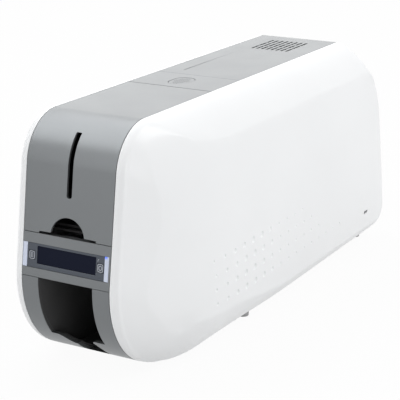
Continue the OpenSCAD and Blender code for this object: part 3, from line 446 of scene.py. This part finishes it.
# the front face's place and the leans of the front and rear, as in the part
FACE_Y = -240.387 * MM
SEAM_Z = 123.7 * MM
FRONT_LEAN = math.radians(8)
REAR_LEAN = math.radians(13.7)


def on_front(x, depth, up):
    """A point in the frame of the front face: depth behind it, up along it."""
    c, s = math.cos(FRONT_LEAN), math.sin(FRONT_LEAN)
    return Vector((x, FACE_Y + depth * c + up * s, SEAM_Z - depth * s + up * c))


# ---------------------------------------------------------------- side shells
TOP_R, CHIN_R, HEEL_R, NOSE_R = 42.8 * MM, 78 * MM, 14 * MM, 8 * MM
FLARE, FLARE_SOFT = 1.46, 2.5 * MM
BELLY_X, BELLY_RUN, BELLY_RISE = 55 * MM, 33 * MM, 38 * MM
ARC_TURNS = (90, 172, 270, 373.7, 450)
ARC_STEPS = (20, 34, 10, 10)
LINE_STEPS = (12, 26, 14, 30)
SIDE_LOW, SIDE_HIGH, WIDEST = 36 * MM, 187 * MM, 103 * MM


def soft_ramp(v, radius):
    """Zero below 0 and v above it, with a rounded corner."""
    return 0.5 * (v + math.sqrt(v * v + radius * radius))


def round_in(u):
    """Quarter circle from 0 at u = 0 to 1 at u = 1."""
    return 1.0 - math.sqrt(max(0.0, 1.0 - min(1.0, max(0.0, u)) ** 2))


def smooth(u):
    """Smooth step from 0 to 1 over the same range of u."""
    u = min(1.0, max(0.0, u))
    return u * u * (3 - 2 * u)


def shell_ring(x):
    """One closed ring of the swept skin, at distance x from the middle, as (y, z) points."""
    s = sizes()
    half = s.strip_w / 2
    rim = half + s.rim_w
    front = FLARE * soft_ramp(x - rim, FLARE_SOFT) + s.groove * smooth((x - rim - 1 * MM) / (1.6 * MM))
    front -= FLARE * soft_ramp(half - rim, FLARE_SOFT)
    top = 30 * MM * (max(0.0, x - half) / (35 * MM)) ** 1.6
    out = min(1.0, max(0.0, (x - BELLY_X) / BELLY_RUN))
    slope = 0.583 * (out / 0.909) ** 1.6
    belly = 0.8 * round_in(out) + 0.2 * slope
    under = BELLY_RISE * belly
    rear = 3.5 * MM * round_in(min(1.0, (x - half) / (s.body_w / 2 - half)) ** 3)
    high = s.body_h - s.foot_h - top - under
    top_r = TOP_R * min(1.0, 0.94 * high / (TOP_R + CHIN_R))
    radii = (top_r, top_r * CHIN_R / TOP_R, min(HEEL_R, 0.4 * high), min(NOSE_R, 0.4 * high))
    cf, cr = math.cos(FRONT_LEAN), math.cos(REAR_LEAN)
    low = s.foot_h + under
    zs = (s.body_h - top - radii[0], low + radii[1], low + radii[2], s.body_h - top - radii[3])
    ys = [(z - SEAM_Z) * math.tan(FRONT_LEAN) + (r + front) / cf for z, r in zip(zs[:2], radii[:2])]
    ys += [s.top_l + (s.body_h - z) * math.tan(REAR_LEAN) - (r + rear) / cr
           for z, r in zip(zs[2:], radii[2:])]
    ring = []
    for c in range(4):
        centre = (FACE_Y + ys[c], zs[c])
        a0, a1 = math.radians(ARC_TURNS[c]), math.radians(ARC_TURNS[c + 1])
        arc = [(centre[0] + radii[c] * math.cos(a), centre[1] + radii[c] * math.sin(a))
               for a in (a0 + (a1 - a0) * i / ARC_STEPS[c] for i in range(ARC_STEPS[c] + 1))]
        ring.append(arc)
    points = []
    for c in range(4):
        points += ring[c]
        start, end = ring[c][-1], ring[(c + 1) % 4][0]
        n = LINE_STEPS[c]
        points += [(start[0] + (end[0] - start[0]) * i / n, start[1] + (end[1] - start[1]) * i / n)
                   for i in range(1, n)]
    # the underside lifts toward the front corner
    raised = []
    for y, z in points:
        lift = 24 * MM * smooth((10 * MM - y) / (160 * MM)) * (belly + 0.5 * (slope - round_in(out)))
        share = min(1.0, max(0.0, (WIDEST - z) / (WIDEST - low)))
        tail = smooth((x - 50 * MM) / (30 * MM)) * smooth((y - 120 * MM) / (60 * MM))
        raised.append((y - 1.7 * MM * tail * smooth((165 * MM - z) / (60 * MM)), z + lift * share))
    return raised


def side_plane(y, z):
    """Distance from the middle of the gently bowed side face."""
    bow = 17.5 * MM * (max(0.0, -100 * MM - y) / (110 * MM)) ** 2.3
    tuck = 3.2 * MM * smooth((60 * MM - z) / (30 * MM)) * smooth((-160 * MM - y) / (27 * MM))
    if z > WIDEST:
        fall = 8.5 * MM * ((z - WIDEST) / (SIDE_HIGH - WIDEST)) ** 3.2
    else:
        fall = 1.2 * MM * (max(0.0, WIDEST - z) / (WIDEST - SIDE_LOW)) ** 2
    rear = 2 * MM * (max(0.0, y - 60 * MM) / (160 * MM)) ** 2 * smooth((190 * MM - z) / (90 * MM))
    return sizes().body_w / 2 - bow - fall - tuck - rear


def shell_mesh(side):
    """One side shell as a closed skin: swept rim, shoulder and underside cut by the bowed side."""
    s = sizes()
    half = s.strip_w / 2
    rows = [half + 0.1 * MM]
    for start, end, n in ((43.6, 49, 5), (49.4, 53.4, 12), (54.4, 80, 22), (80.6, 87.9, 16)):
        rows += [(start + (end - start) * i / (n - 1)) * MM for i in range(n)]
    rings = [[(x, *p) for p in shell_ring(x)] for x in rows]
    last = shell_ring(rows[-1])
    spine = (-110 * MM, 190 * MM, 106 * MM)
    inner = 26
    for i in range(1, inner + 1):
        u = i / inner
        ring = []
        for y, z in last:
            to_y = min(max(y, spine[0]), spine[1])
            ring.append((1.0, y + (to_y - y) * u, z + (spine[2] - z) * u))
        rings.append(ring)
    bm = bmesh.new()
    grid = []
    for ring in rings:
        grid.append([bm.verts.new((side * min(x, side_plane(y, z)), y, z)) for x, y, z in ring])
    n = len(grid[0])
    for a, b in zip(grid, grid[1:]):
        for i in range(n):
            j = (i + 1) % n
            bm.faces.new((a[i], b[i], b[j], a[j]))
    bmesh.ops.remove_doubles(bm, verts=bm.verts, dist=2e-5)
    bmesh.ops.recalc_face_normals(bm, faces=bm.faces)
    bm.normal_update()
    probe = max(bm.faces, key=lambda f: f.calc_center_median().x * side)
    if probe.normal.x * side < 0:
        bmesh.ops.reverse_faces(bm, faces=bm.faces)
        bm.normal_update()
    outer_faces = list(bm.faces)
    rim_edges = [e for e in bm.edges if e.is_boundary]
    copy = {}
    for v in list(bm.verts):
        inward = v.co - v.normal * s.shell_t
        if any(e.is_boundary for e in v.link_edges):
            inward.x = v.co.x
        inward.x = side * max(min(side * inward.x, side * v.co.x), half + 0.1 * MM)
        copy[v] = bm.verts.new(inward)
    for f in outer_faces:
        bm.faces.new([copy[v] for v in reversed(f.verts)])
    for e in rim_edges:
        face = e.link_faces[0]
        a, b = e.verts
        loop = list(face.verts)
        if loop[(loop.index(a) + 1) % len(loop)] is not b:
            a, b = b, a
        bm.faces.new((b, a, copy[a], copy[b]))
    bm.normal_update()
    return mesh_of("shell", bm)


def geometry_tree(name, given):
    """An empty Geometry Nodes tree with its named inputs, and two helpers that add nodes to it."""
    tree = bpy.data.node_groups.new(name, "GeometryNodeTree")
    tree.is_modifier = True
    for label, kind in given:
        tree.interface.new_socket(label, in_out="INPUT", socket_type="NodeSocket" + kind)
    tree.interface.new_socket("Geometry", in_out="OUTPUT", socket_type="NodeSocketGeometry")

    def add(kind, settings=None, inputs=None):
        node = tree.nodes.new(kind)
        for key, value in (settings or {}).items():
            setattr(node, key, value)
        for key, value in (inputs or {}).items():
            if isinstance(value, bpy.types.NodeSocket):
                tree.links.new(value, node.inputs[key])
            else:
                node.inputs[key].default_value = value
        return node

    def calc(operation, a, b=0.0):
        return add("ShaderNodeMath", {"operation": operation}, {0: a, 1: b}).outputs[0]

    return tree, add, calc


# height, first place along Y and number of the dimples of each row
DIMPLE_ROWS = ((89 * MM, -147.4 * MM, 11), (75.5 * MM, -143.4 * MM, 12),
               (62 * MM, -142.4 * MM, 13), (48.5 * MM, -140.4 * MM, 16))
DIMPLE_MIDDLE = -78 * MM
DIMPLE_FADE = 80 * MM
DIMPLE_SMALLEST = 0.45
BALL_RADII = 1.35
BALL_LIFT = 0.91


def dimple_tree():
    """Geometry Nodes: rows of round dimples sunk into a side shell, largest in the middle of a row."""
    tree, add, calc = geometry_tree("side_dimples", (
        ("Geometry", "Geometry"), ("Pitch", "Float"), ("Diameter", "Float"), ("Side", "Float"),
        ("Finish", "Material")))
    given = add("NodeGroupInput").outputs
    join = add("GeometryNodeJoinGeometry")
    step = add("ShaderNodeCombineXYZ", None, {"Y": given["Pitch"]}).outputs[0]
    for z, first, count in DIMPLE_ROWS:
        start = add("ShaderNodeCombineXYZ", None,
                    {"X": calc("MULTIPLY", given["Side"], 0.2), "Y": first, "Z": z})
        line = add("GeometryNodeMeshLine", {"mode": "OFFSET"},
                   {"Count": count, "Start Location": start.outputs[0], "Offset": step})
        tree.links.new(line.outputs[0], join.inputs[0])
    inward = add("ShaderNodeCombineXYZ", None, {"X": calc("MULTIPLY", given["Side"], -1.0)}).outputs[0]
    ray = add("GeometryNodeRaycast", None, {"Target Geometry": given["Geometry"], "Ray Direction": inward,
                                            "Ray Length": 0.3})
    place = add("ShaderNodeSeparateXYZ", None, {"Vector": add("GeometryNodeInputPosition").outputs[0]})
    along = calc("ABSOLUTE", calc("SUBTRACT", place.outputs["Y"], DIMPLE_MIDDLE))
    fade = add("ShaderNodeMapRange", {"interpolation_type": "SMOOTHSTEP"},
               {"Value": along, "From Min": 0.0, "From Max": DIMPLE_FADE, "To Min": 1.0,
                "To Max": DIMPLE_SMALLEST})
    radius = calc("MULTIPLY", calc("MULTIPLY", given["Diameter"], 0.5), fade.outputs[0])
    # a ball larger than its dimple, lifted so that only its lowest part cuts in
    ball_r = calc("MULTIPLY", radius, BALL_RADII)
    lift = add("ShaderNodeVectorMath", {"operation": "SCALE"},
               {"Vector": ray.outputs["Hit Normal"], "Scale": calc("MULTIPLY", radius, BALL_LIFT)})
    centre = add("ShaderNodeVectorMath", {"operation": "ADD"},
                 {0: ray.outputs["Hit Position"], 1: lift.outputs[0]})
    points = add("GeometryNodeSetPosition", None,
                 {"Geometry": join.outputs[0], "Position": centre.outputs[0]})
    ball = add("GeometryNodeMeshUVSphere", None, {"Segments": 20, "Rings": 14, "Radius": 1.0})
    # the radius is read from Y again here, and the move onto the skin hardly changes Y
    each = add("GeometryNodeInstanceOnPoints", None,
               {"Points": points.outputs[0], "Instance": ball.outputs[0], "Scale": ball_r})
    balls = add("GeometryNodeRealizeInstances", None, {"Geometry": each.outputs[0]})
    cut = add("GeometryNodeMeshBoolean", {"operation": "DIFFERENCE", "solver": "EXACT"},
              {"Mesh 1": given["Geometry"], "Mesh 2": balls.outputs[0]})
    whole = add("GeometryNodeRealizeInstances", None, {"Geometry": cut.outputs[0]})
    painted = add("GeometryNodeSetMaterial", None,
                  {"Geometry": whole.outputs[0], "Material": given["Finish"]})
    out = add("NodeGroupOutput")
    tree.links.new(painted.outputs[0], out.inputs[0])
    return tree


def grown(obj, tree, settings):
    """Runs a Geometry Nodes tree on an object and gives back its result as a plain mesh."""
    mod = obj.modifiers.new("grow", "NODES")
    mod.node_group = tree
    ids = {item.name: item.identifier for item in tree.interface.items_tree
           if item.item_type == "SOCKET" and item.in_out == "INPUT"}
    for key, value in settings.items():
        mod[ids[key]] = value
    mesh = evaluated(obj)
    obj.modifiers.remove(mod)
    return mesh


def cut_away(mesh, cutter):
    """Boolean difference of a mesh with a cutter BMesh."""
    host = linked("host", mesh)
    tool = linked("tool", mesh_of("tool", cutter))
    mod = host.modifiers.new("cut", "BOOLEAN")
    mod.operation = "DIFFERENCE"
    mod.solver = "EXACT"
    mod.object = tool
    result = evaluated(host)
    bpy.data.objects.remove(host)
    bpy.data.objects.remove(tool)
    return result


class PRINTER_OT_side_shells(bpy.types.Operator):
    """Makes both white side shells with their dimples and the lock slot"""
    bl_idname = "printer.side_shells"
    bl_label = "Side Shells"

    def execute(self, context):
        s = sizes()
        tree = dimple_tree()
        for side, name in ((1, "right"), (-1, "left")):
            mesh = shell_mesh(side)
            if side == 1:
                slot_cut = bmesh.new()
                bmesh.ops.create_cube(slot_cut, size=1.0)
                bmesh.ops.scale(slot_cut, vec=(18 * MM, 10 * MM, 3.2 * MM), verts=slot_cut.verts)
                bmesh.ops.bevel(slot_cut, geom=[e for e in slot_cut.edges if abs(
                    (e.verts[0].co - e.verts[1].co).x) > 1 * MM], offset=1.2 * MM, segments=4,
                    profile=0.5, affect="EDGES")
                bmesh.ops.translate(slot_cut, vec=(80 * MM, 187.4 * MM, 40 * MM), verts=slot_cut.verts)
                mesh = cut_away(mesh, slot_cut)
            work = linked("shell_work", mesh)
            done = grown(work, tree, {"Pitch": s.dimple_pitch, "Diameter": s.dimple_d, "Side": float(side),
                                      "Finish": finishes()["white_plastic"]})
            bpy.data.objects.remove(work)
            new_object(name + "_shell_skin", done, "white_plastic", "root", [name + "_side_shell"],
                       crease=math.radians(24))
        return {"FINISHED"}


# ---------------------------------------------------------------- covers and front
def widen_notch(bm):
    """Draws the thumb notch of the hopper cover a little wider."""
    c, s = math.cos(FRONT_LEAN), math.sin(FRONT_LEAN)
    for v in bm.verts:
        dy, dz = v.co.y - FACE_Y, v.co.z - SEAM_Z
        depth, up = dy * c - dz * s, dy * s + dz * c
        if abs(math.hypot(v.co.x, up) - 15 * MM) < 0.2 * MM and -1 * MM < depth < 8 * MM and up > 1 * MM:
            v.co = on_front(v.co.x * 1.09, depth, up * 1.09)


def soften_scoop(bm):
    """Leaves only a shallow hand scoop in the top cover."""
    top = sizes().body_h
    for v in bm.verts:
        inside = abs(v.co.x) < 25.3 * MM and -8.8 * MM < v.co.y < 105 * MM
        if inside and top - 2.2 * MM < v.co.z < top - 0.01 * MM:
            v.co.z = top - 0.15 * (top - v.co.z)
        # the ribs between the rows of vent slots are slender
        if abs(v.co.x) < 21 * MM:
            for rib in (136.11 * MM, 154.11 * MM):
                if abs(v.co.y - rib) < 1.6 * MM:
                    v.co.y = rib + 0.45 * (v.co.y - rib)


def jamb_shade_sheet(thick):
    """Black sheet on both sides of the output mouth, a little behind the grey edge: painted shade over the
    grey jambs.
    """
    source = node_mesh("output_fascia")
    bm = bmesh.new()
    for f in source.faces:
        centre = f.calc_center_median()
        if abs(f.normal.x) > 0.99 and f.normal.x * centre.x < 0 and abs(abs(centre.x) - 26.6 * MM) < 0.4 * MM:
            bm.faces.new([bm.verts.new(v.co) for v in f.verts])
    source.free()
    bm.normal_update()
    bmesh.ops.inset_individual(bm, faces=bm.faces, thickness=0.4 * MM)
    inner = [f for f in bm.faces if not any(e.is_boundary for e in f.edges)]
    bmesh.ops.delete(bm, geom=[f for f in bm.faces if f not in inner], context="FACES")
    bm.normal_update()
    lifted = []
    for f in list(bm.faces):
        raised = [bm.verts.new(v.co + f.normal * thick) for v in f.verts]
        low = [bm.verts.new(v.co + f.normal * 0.02 * MM) for v in f.verts]
        lifted.append((f, raised, low))
    for f, raised, low in lifted:
        n = len(raised)
        bm.faces.new(raised)
        bm.faces.new(low[::-1])
        for i in range(n):
            j = (i + 1) % n
            bm.faces.new((low[i], low[j], raised[j], raised[i]))
    bmesh.ops.delete(bm, geom=[f for f, raised, low in lifted], context="FACES")
    bmesh.ops.recalc_face_normals(bm, faces=bm.faces)
    # the black plastic here is painted shade, not a real lining part
    new_object("jamb_shade_sheet", bm, "black_plastic", "root")


class PRINTER_OT_covers(bpy.types.Operator):
    """Rounds the edges of the grey covers, the fascia and the trays"""
    bl_idname = "printer.covers"
    bl_label = "Covers"

    def execute(self, context):
        r = sizes().edge_r
        eased("hopper_cover", r, reshape=widen_notch)
        eased("display_bar", 0.55 * MM)
        eased("output_fascia", r)
        eased("mid_cover", 0.2 * MM)
        eased("top_cover", 0.25 * MM, reshape=soften_scoop)
        # black sheet painted as shade over the grey jambs of the output mouth
        jamb_shade_sheet(0.25 * MM)
        eased("output_tray", 0.5 * MM)
        eased("card_hopper", 0.4 * MM, finish="hopper_black")
        eased("feet", 0.6 * MM, finish="foot_rubber")
        eased("base_tray", 0.3 * MM)
        eased("rear_panel", 0.4 * MM)
        return {"FINISHED"}


class PRINTER_OT_open_button(bpy.types.Operator):
    """Makes the oval open button with its grip dots"""
    bl_idname = "printer.open_button"
    bl_label = "Open Button"

    def execute(self, context):
        s = sizes()
        eased("open_button", 0.12 * MM)
        low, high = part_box("open_button")
        work = linked("dot_work", bpy.data.meshes.new("dot_seed"))
        centre = ((low.x + high.x) / 2, (low.y + high.y) / 2, high.z)
        dots = grown(work, dot_tree(), {
            "Centre": centre, "Half Length": (high.y - low.y) / 2 - 3 * MM,
            "Half Width": (high.x - low.x) / 2 - 3 * MM, "Dot": s.dot_d,
            "Finish": finishes()["grip_dots"]})
        bpy.data.objects.remove(work)
        new_object("open_button_dots", dots, "grey_plastic", BODY_OF["open_button"], finish="grip_dots")
        return {"FINISHED"}


def dot_tree():
    """Geometry Nodes: an oval field of small raised dots."""
    tree, add, calc = geometry_tree("grip_dots", (
        ("Geometry", "Geometry"), ("Centre", "Vector"), ("Half Length", "Float"), ("Half Width", "Float"),
        ("Dot", "Float"), ("Finish", "Material")))
    given = add("NodeGroupInput").outputs
    field = add("GeometryNodeMeshGrid", None,
                {"Size X": calc("MULTIPLY", given["Half Width"], 2.0),
                 "Size Y": calc("MULTIPLY", given["Half Length"], 2.0), "Vertices X": 6, "Vertices Y": 8})
    place = add("ShaderNodeSeparateXYZ", None, {"Vector": add("GeometryNodeInputPosition").outputs[0]})
    across = calc("DIVIDE", place.outputs["X"], given["Half Width"])
    along = calc("DIVIDE", place.outputs["Y"], given["Half Length"])
    far = calc("ADD", calc("POWER", calc("ABSOLUTE", across), 2.2),
               calc("POWER", calc("ABSOLUTE", along), 2.6))
    outside = add("FunctionNodeCompare", {"operation": "GREATER_THAN", "data_type": "FLOAT"},
                  {"A": far, "B": 1.05})
    kept = add("GeometryNodeDeleteGeometry", {"domain": "POINT"},
               {"Geometry": field.outputs[0], "Selection": outside.outputs[0]})
    moved = add("GeometryNodeTransform", None, {"Geometry": kept.outputs[0], "Translation": given["Centre"]})
    ball = add("GeometryNodeMeshUVSphere", None, {"Segments": 10, "Rings": 6, "Radius": 0.5})
    flat = add("GeometryNodeTransform", None, {"Geometry": ball.outputs[0], "Scale": (1.0, 1.0, 0.4)})
    each = add("GeometryNodeInstanceOnPoints", None,
               {"Points": moved.outputs[0], "Instance": flat.outputs[0], "Scale": given["Dot"]})
    whole = add("GeometryNodeRealizeInstances", None, {"Geometry": each.outputs[0]})
    painted = add("GeometryNodeSetMaterial", None,
                  {"Geometry": whole.outputs[0], "Material": given["Finish"]})
    out = add("NodeGroupOutput")
    tree.links.new(painted.outputs[0], out.inputs[0])
    return tree


def rounded_outline(w, h, r, n=6):
    """Corner-rounded rectangle as (x, up) points round the middle."""
    points = []
    for cx, cy, a0 in ((1, 1, 0), (-1, 1, 90), (-1, -1, 180), (1, -1, 270)):
        for i in range(n + 1):
            a = math.radians(a0 + 90 * i / n)
            points.append((cx * (w / 2 - r) + r * math.cos(a), cy * (h / 2 - r) + r * math.sin(a)))
    return points


def raised_line(bm, centre, points, width, proud, depth, closed=True):
    """A printed line that stands a little proud of the front face, along (x, up) points."""
    n = len(points)
    top, low = [], []
    for i in range(n):
        before = points[i - 1] if closed or i else points[0]
        after = points[(i + 1) % n] if closed or i < n - 1 else points[-1]
        dx, dy = after[0] - before[0], after[1] - before[1]
        size = math.hypot(dx, dy) or 1.0
        nx, ny = -dy / size * width / 2, dx / size * width / 2
        px, py = centre[0] + points[i][0], centre[1] + points[i][1]
        top.append([bm.verts.new(on_front(px + k * nx, depth - proud, py + k * ny)) for k in (-1, 1)])
        low.append([bm.verts.new(on_front(px + k * nx, depth + 0.05 * MM, py + k * ny)) for k in (-1, 1)])
    for i in range(n if closed else n - 1):
        j = (i + 1) % n
        bm.faces.new((top[i][0], top[j][0], top[j][1], top[i][1]))
        bm.faces.new((low[i][0], low[j][0], top[j][0], top[i][0]))
        bm.faces.new((top[i][1], top[j][1], low[j][1], low[i][1]))
        bm.faces.new((low[i][1], low[j][1], low[j][0], low[i][0]))
    if not closed:
        for k in (0, n - 1):
            bm.faces.new((top[k][0], top[k][1], low[k][1], low[k][0]))


class PRINTER_OT_display(bpy.types.Operator):
    """Makes the display: bezel, glass, light bars and the two keys with their symbols"""
    bl_idname = "printer.display"
    bl_label = "Display"

    def execute(self, context):
        eased("display_bezel", 0.25 * MM)
        eased("display_window", 0.2 * MM)
        eased("light_bars", 0.35 * MM, segments=3)
        for node in ("left_button", "right_button"):
            eased(node, 0.3 * MM)
        mid = -19.25 * MM
        for side, x in (("left", -33.7 * MM), ("right", 33 * MM)):
            bm = bmesh.new()
            key_line(bm, (x, mid), rounded_outline(4.9 * MM, 6.3 * MM, 1.3 * MM))
            if side == "left":
                for k in range(4):
                    up = (1.5 - k) * 1.05 * MM
                    key_line(bm, (x, mid), [(-1.0 * MM, up), (1.0 * MM, up)], 0.45 * MM, closed=False)
                key_line(bm, (x, mid), [(-1.1 * MM, 2.2 * MM), (-1.1 * MM, -2.0 * MM)], 0.3 * MM,
                         closed=False)
            else:
                key_line(bm, (x, mid), [(1.45 * MM * math.cos(a), 1.7 * MM * math.sin(a))
                                        for a in (math.tau * i / 28 for i in range(28))])
            bmesh.ops.recalc_face_normals(bm, faces=bm.faces)
            new_object(side + "_key_symbol", bm, "light_plastic", side + "_button", finish="icon_print")
        ticks = bmesh.new()
        corner = [(-2.4 * MM, 5.0 * MM), (-2.4 * MM, 6.3 * MM), (-2.1 * MM, 6.9 * MM), (-1.4 * MM, 7.1 * MM)]
        raised_line(ticks, (33 * MM, mid), corner, 0.4 * MM, 0.06 * MM, 0.34 * MM, closed=False)
        bmesh.ops.recalc_face_normals(ticks, faces=ticks.faces)
        new_object("right_key_corner", ticks, "light_plastic", "root", finish="icon_print")
        return {"FINISHED"}


def key_line(bm, centre, points, width=0.6 * MM, closed=True):
    """One printed line of a key symbol."""
    raised_line(bm, centre, points, width, 0.06 * MM, 0.4 * MM, closed)


# ---------------------------------------------------------------- inside and back
class PRINTER_OT_mechanism(bpy.types.Operator):
    """Gives every inner part its finish and makes the ribbon film"""
    bl_idname = "printer.mechanism"
    bl_label = "Mechanism"

    def execute(self, context):
        for node in ("power_rocker", "switch_housing", "power_jack", "usb_port", "network_port", "fan_rotor",
                     "cassette_frame", "head_bracket", "print_head", "card_guide", "release_lever"):
            eased(node, 0.2 * MM)
        eased("card_weight", 0.4 * MM, finish="hopper_black", reshape=clear_pickup)
        ribbon_between_rolls(28 * MM, 0.12 * MM)
        for node in frame["nodes"]:
            repaint(node)
        return {"FINISHED"}


def clear_pickup(bm):
    """Keeps the underside of the card weight a hair above the pickup roller."""
    low = min(v.co.z for v in bm.verts)
    for v in bm.verts:
        if v.co.z < low + 0.05 * MM:
            v.co.z += 0.2 * MM


def tangent(centre, radius, point):
    """Lower place where a line from a point touches a roll, as (y, z)."""
    dy, dz = point[0] - centre[0], point[1] - centre[1]
    base = math.atan2(dz, dy)
    turn = math.acos(radius / math.hypot(dy, dz))
    angles = (base + turn, base - turn)
    touches = [(centre[0] + radius * math.cos(a), centre[1] + radius * math.sin(a)) for a in angles]
    return min(touches, key=lambda p: p[1])


def ribbon_between_rolls(half, thick):
    """Film from the supply roll under the print head and up to the take-up roll."""
    rolls = []
    for node in ("supply_spool", "takeup_spool"):
        low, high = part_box(node)
        rolls.append(((low.y + high.y) / 2, (low.z + high.z) / 2))
    low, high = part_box("platen_sleeve")
    print_y = (low.y + high.y) / 2
    print_z = high.z + 0.4 * MM
    ends = [(print_y - 2 * MM, print_z), (print_y + 2 * MM, print_z)]
    radius = 14.3 * MM
    corners = [tangent(rolls[0], radius, ends[0]), *ends, tangent(rolls[1], radius, ends[1])]
    path = []
    for a, b in zip(corners, corners[1:]):
        path += [(a[0] + (b[0] - a[0]) * i / 10, a[1] + (b[1] - a[1]) * i / 10) for i in range(10)]
    path.append(corners[-1])
    bm = bmesh.new()
    rows = []
    for i, (y, z) in enumerate(path):
        before, after = path[max(0, i - 1)], path[min(len(path) - 1, i + 1)]
        along = Vector((0.0, after[0] - before[0], after[1] - before[1])).normalized()
        out = Vector((0.0, -along.z, along.y)) * thick / 2
        rows.append([bm.verts.new(Vector((x, y, z)) + k * out)
                     for x, k in ((-half, 1), (half, 1), (half, -1), (-half, -1))])
    for a, b in zip(rows, rows[1:]):
        for i in range(4):
            j = (i + 1) % 4
            bm.faces.new((a[i], a[j], b[j], b[i]))
    bm.faces.new(rows[0])
    bm.faces.new(rows[-1][::-1])
    bmesh.ops.recalc_face_normals(bm, faces=bm.faces)
    new_object("ribbon_film", bm, SLOT_OF["supply_spool"], "root", finish="ribbon_film")


# ---------------------------------------------------------------- stage
CAMERA_PLACE = (0.592301, -1.077016, 0.471464)
CAMERA_PITCH = 0.300151
CAMERA_YAW = 0.511417


class PRINTER_OT_stage(bpy.types.Operator):
    """Sets up the pale floor, the soft lights and the camera"""
    bl_idname = "printer.stage"
    bl_label = "Studio"

    def execute(self, context):
        scene = context.scene
        studio = scene.printer_studio
        scene.view_settings.view_transform = "Standard"
        scene.world = sky(studio.sky)
        bm = bmesh.new()
        bmesh.ops.create_grid(bm, x_segments=8, y_segments=8, size=6.0)
        floor = linked("floor", mesh_of("floor", bm))
        floor.data.materials.append(floor_finish())
        lamp("overhead", (-1.14, -0.1, 2.03), (0.0, -0.2, 0.2), (3.5, 1.2), studio.top_light)
        lamp("rear_softbox", (-1.6, 2.7, 1.0), (0.0, 0.0, 0.2), (2.4, 2.0), studio.rear_light)
        lamp("front_fill", (-0.7, -2.3, 0.9), (0.0, -0.1, 0.1), (1.4, 1.4), 6)
        lamp("low_fill", (2.2, -1.2, 0.45), (0.0, -0.1, 0.1), (1.6, 0.8), 9.5)
        lamp("side_fill", (1.8, 0.95, 1.95), (0.0, 0.0, 0.1), (1.6, 1.6), 29)
        data = bpy.data.cameras.new("camera")
        data.sensor_width = 36.0
        data.lens = studio.lens
        data.clip_end = 50.0
        camera = linked("camera", data)
        camera.location = CAMERA_PLACE
        camera.rotation_euler = (math.pi / 2 - CAMERA_PITCH, 0.0, CAMERA_YAW)
        scene.camera = camera
        return {"FINISHED"}


def lamp(name, place, aim, size, power):
    """A rectangular softbox at a place, turned toward another."""
    data = bpy.data.lights.new(name, "AREA")
    data.shape = "RECTANGLE"
    data.size, data.size_y = size
    data.energy = power
    obj = linked(name, data)
    obj.location = place
    obj.rotation_euler = (Vector(aim) - Vector(place)).to_track_quat("-Z", "Y").to_euler()


def seen_ray(nodes, links):
    """1 for camera, glossy and transmission rays."""
    path = nodes.new("ShaderNodeLightPath")
    total = path.outputs["Is Camera Ray"]
    for key in ("Is Glossy Ray", "Is Transmission Ray"):
        plus = nodes.new("ShaderNodeMath")
        plus.operation = "MAXIMUM"
        links.new(total, plus.inputs[0])
        links.new(path.outputs[key], plus.inputs[1])
        total = plus.outputs[0]
    return total


def sky(strength):
    """White to the eye and in reflections, softer as a light."""
    world = bpy.data.worlds.new("studio")
    world.use_nodes = True
    nodes, links = world.node_tree.nodes, world.node_tree.links
    nodes.clear()
    back = nodes.new("ShaderNodeBackground")
    mix = nodes.new("ShaderNodeMapRange")
    mix.inputs["To Min"].default_value = strength
    mix.inputs["To Max"].default_value = 1.0
    back.inputs["Color"].default_value = (1.0, 1.0, 1.0, 1.0)
    links.new(seen_ray(nodes, links), mix.inputs["Value"])
    links.new(mix.outputs[0], back.inputs["Strength"])
    out = nodes.new("ShaderNodeOutputWorld")
    links.new(back.outputs[0], out.inputs["Surface"])
    return world


def floor_finish():
    """White floor that keeps a soft shadow."""
    mat = bpy.data.materials.new("floor_white")
    mat.use_nodes = True
    nodes, links = mat.node_tree.nodes, mat.node_tree.links
    nodes.clear()
    paper = nodes.new("ShaderNodeBsdfPrincipled")
    paper.inputs["Base Color"].default_value = (0.66, 0.66, 0.66, 1.0)
    paper.inputs["Roughness"].default_value = 0.9
    glow = nodes.new("ShaderNodeEmission")
    glow.inputs["Strength"].default_value = 1.0
    mix = nodes.new("ShaderNodeMixShader")
    half = nodes.new("ShaderNodeMath")
    half.operation = "MULTIPLY"
    half.inputs[1].default_value = 0.95
    links.new(seen_ray(nodes, links), half.inputs[0])
    links.new(half.outputs[0], mix.inputs[0])
    links.new(paper.outputs[0], mix.inputs[1])
    links.new(glow.outputs[0], mix.inputs[2])
    out = nodes.new("ShaderNodeOutputMaterial")
    links.new(mix.outputs[0], out.inputs["Surface"])
    return mat


OPERATORS = (PRINTER_OT_side_shells, PRINTER_OT_covers, PRINTER_OT_open_button, PRINTER_OT_display,
             PRINTER_OT_mechanism, PRINTER_OT_stage)


class PRINTER_PT_panel(bpy.types.Panel):
    """Lists the steps that build the printer"""
    bl_label = "Card Printer"
    bl_idname = "PRINTER_PT_panel"
    bl_space_type = "VIEW_3D"
    bl_region_type = "UI"
    bl_category = "Printer"

    def draw(self, context):
        for operator in OPERATORS:
            self.layout.operator(operator.bl_idname)


CLASSES = (PrinterSizes, PrinterColours, StudioSettings, *OPERATORS, PRINTER_PT_panel)


def register():
    for cls in CLASSES:
        bpy.utils.register_class(cls)
    bpy.types.Scene.printer_sizes = PointerProperty(type=PrinterSizes)
    bpy.types.Scene.printer_colours = PointerProperty(type=PrinterColours)
    bpy.types.Scene.printer_studio = PointerProperty(type=StudioSettings)


def unregister():
    del bpy.types.Scene.printer_studio
    del bpy.types.Scene.printer_colours
    del bpy.types.Scene.printer_sizes
    for cls in reversed(CLASSES):
        bpy.utils.unregister_class(cls)


def main():
    register()
    for operator in OPERATORS:
        group, name = operator.bl_idname.split(".")
        getattr(getattr(bpy.ops, group), name)()


if __name__ == "__main__":
    main()
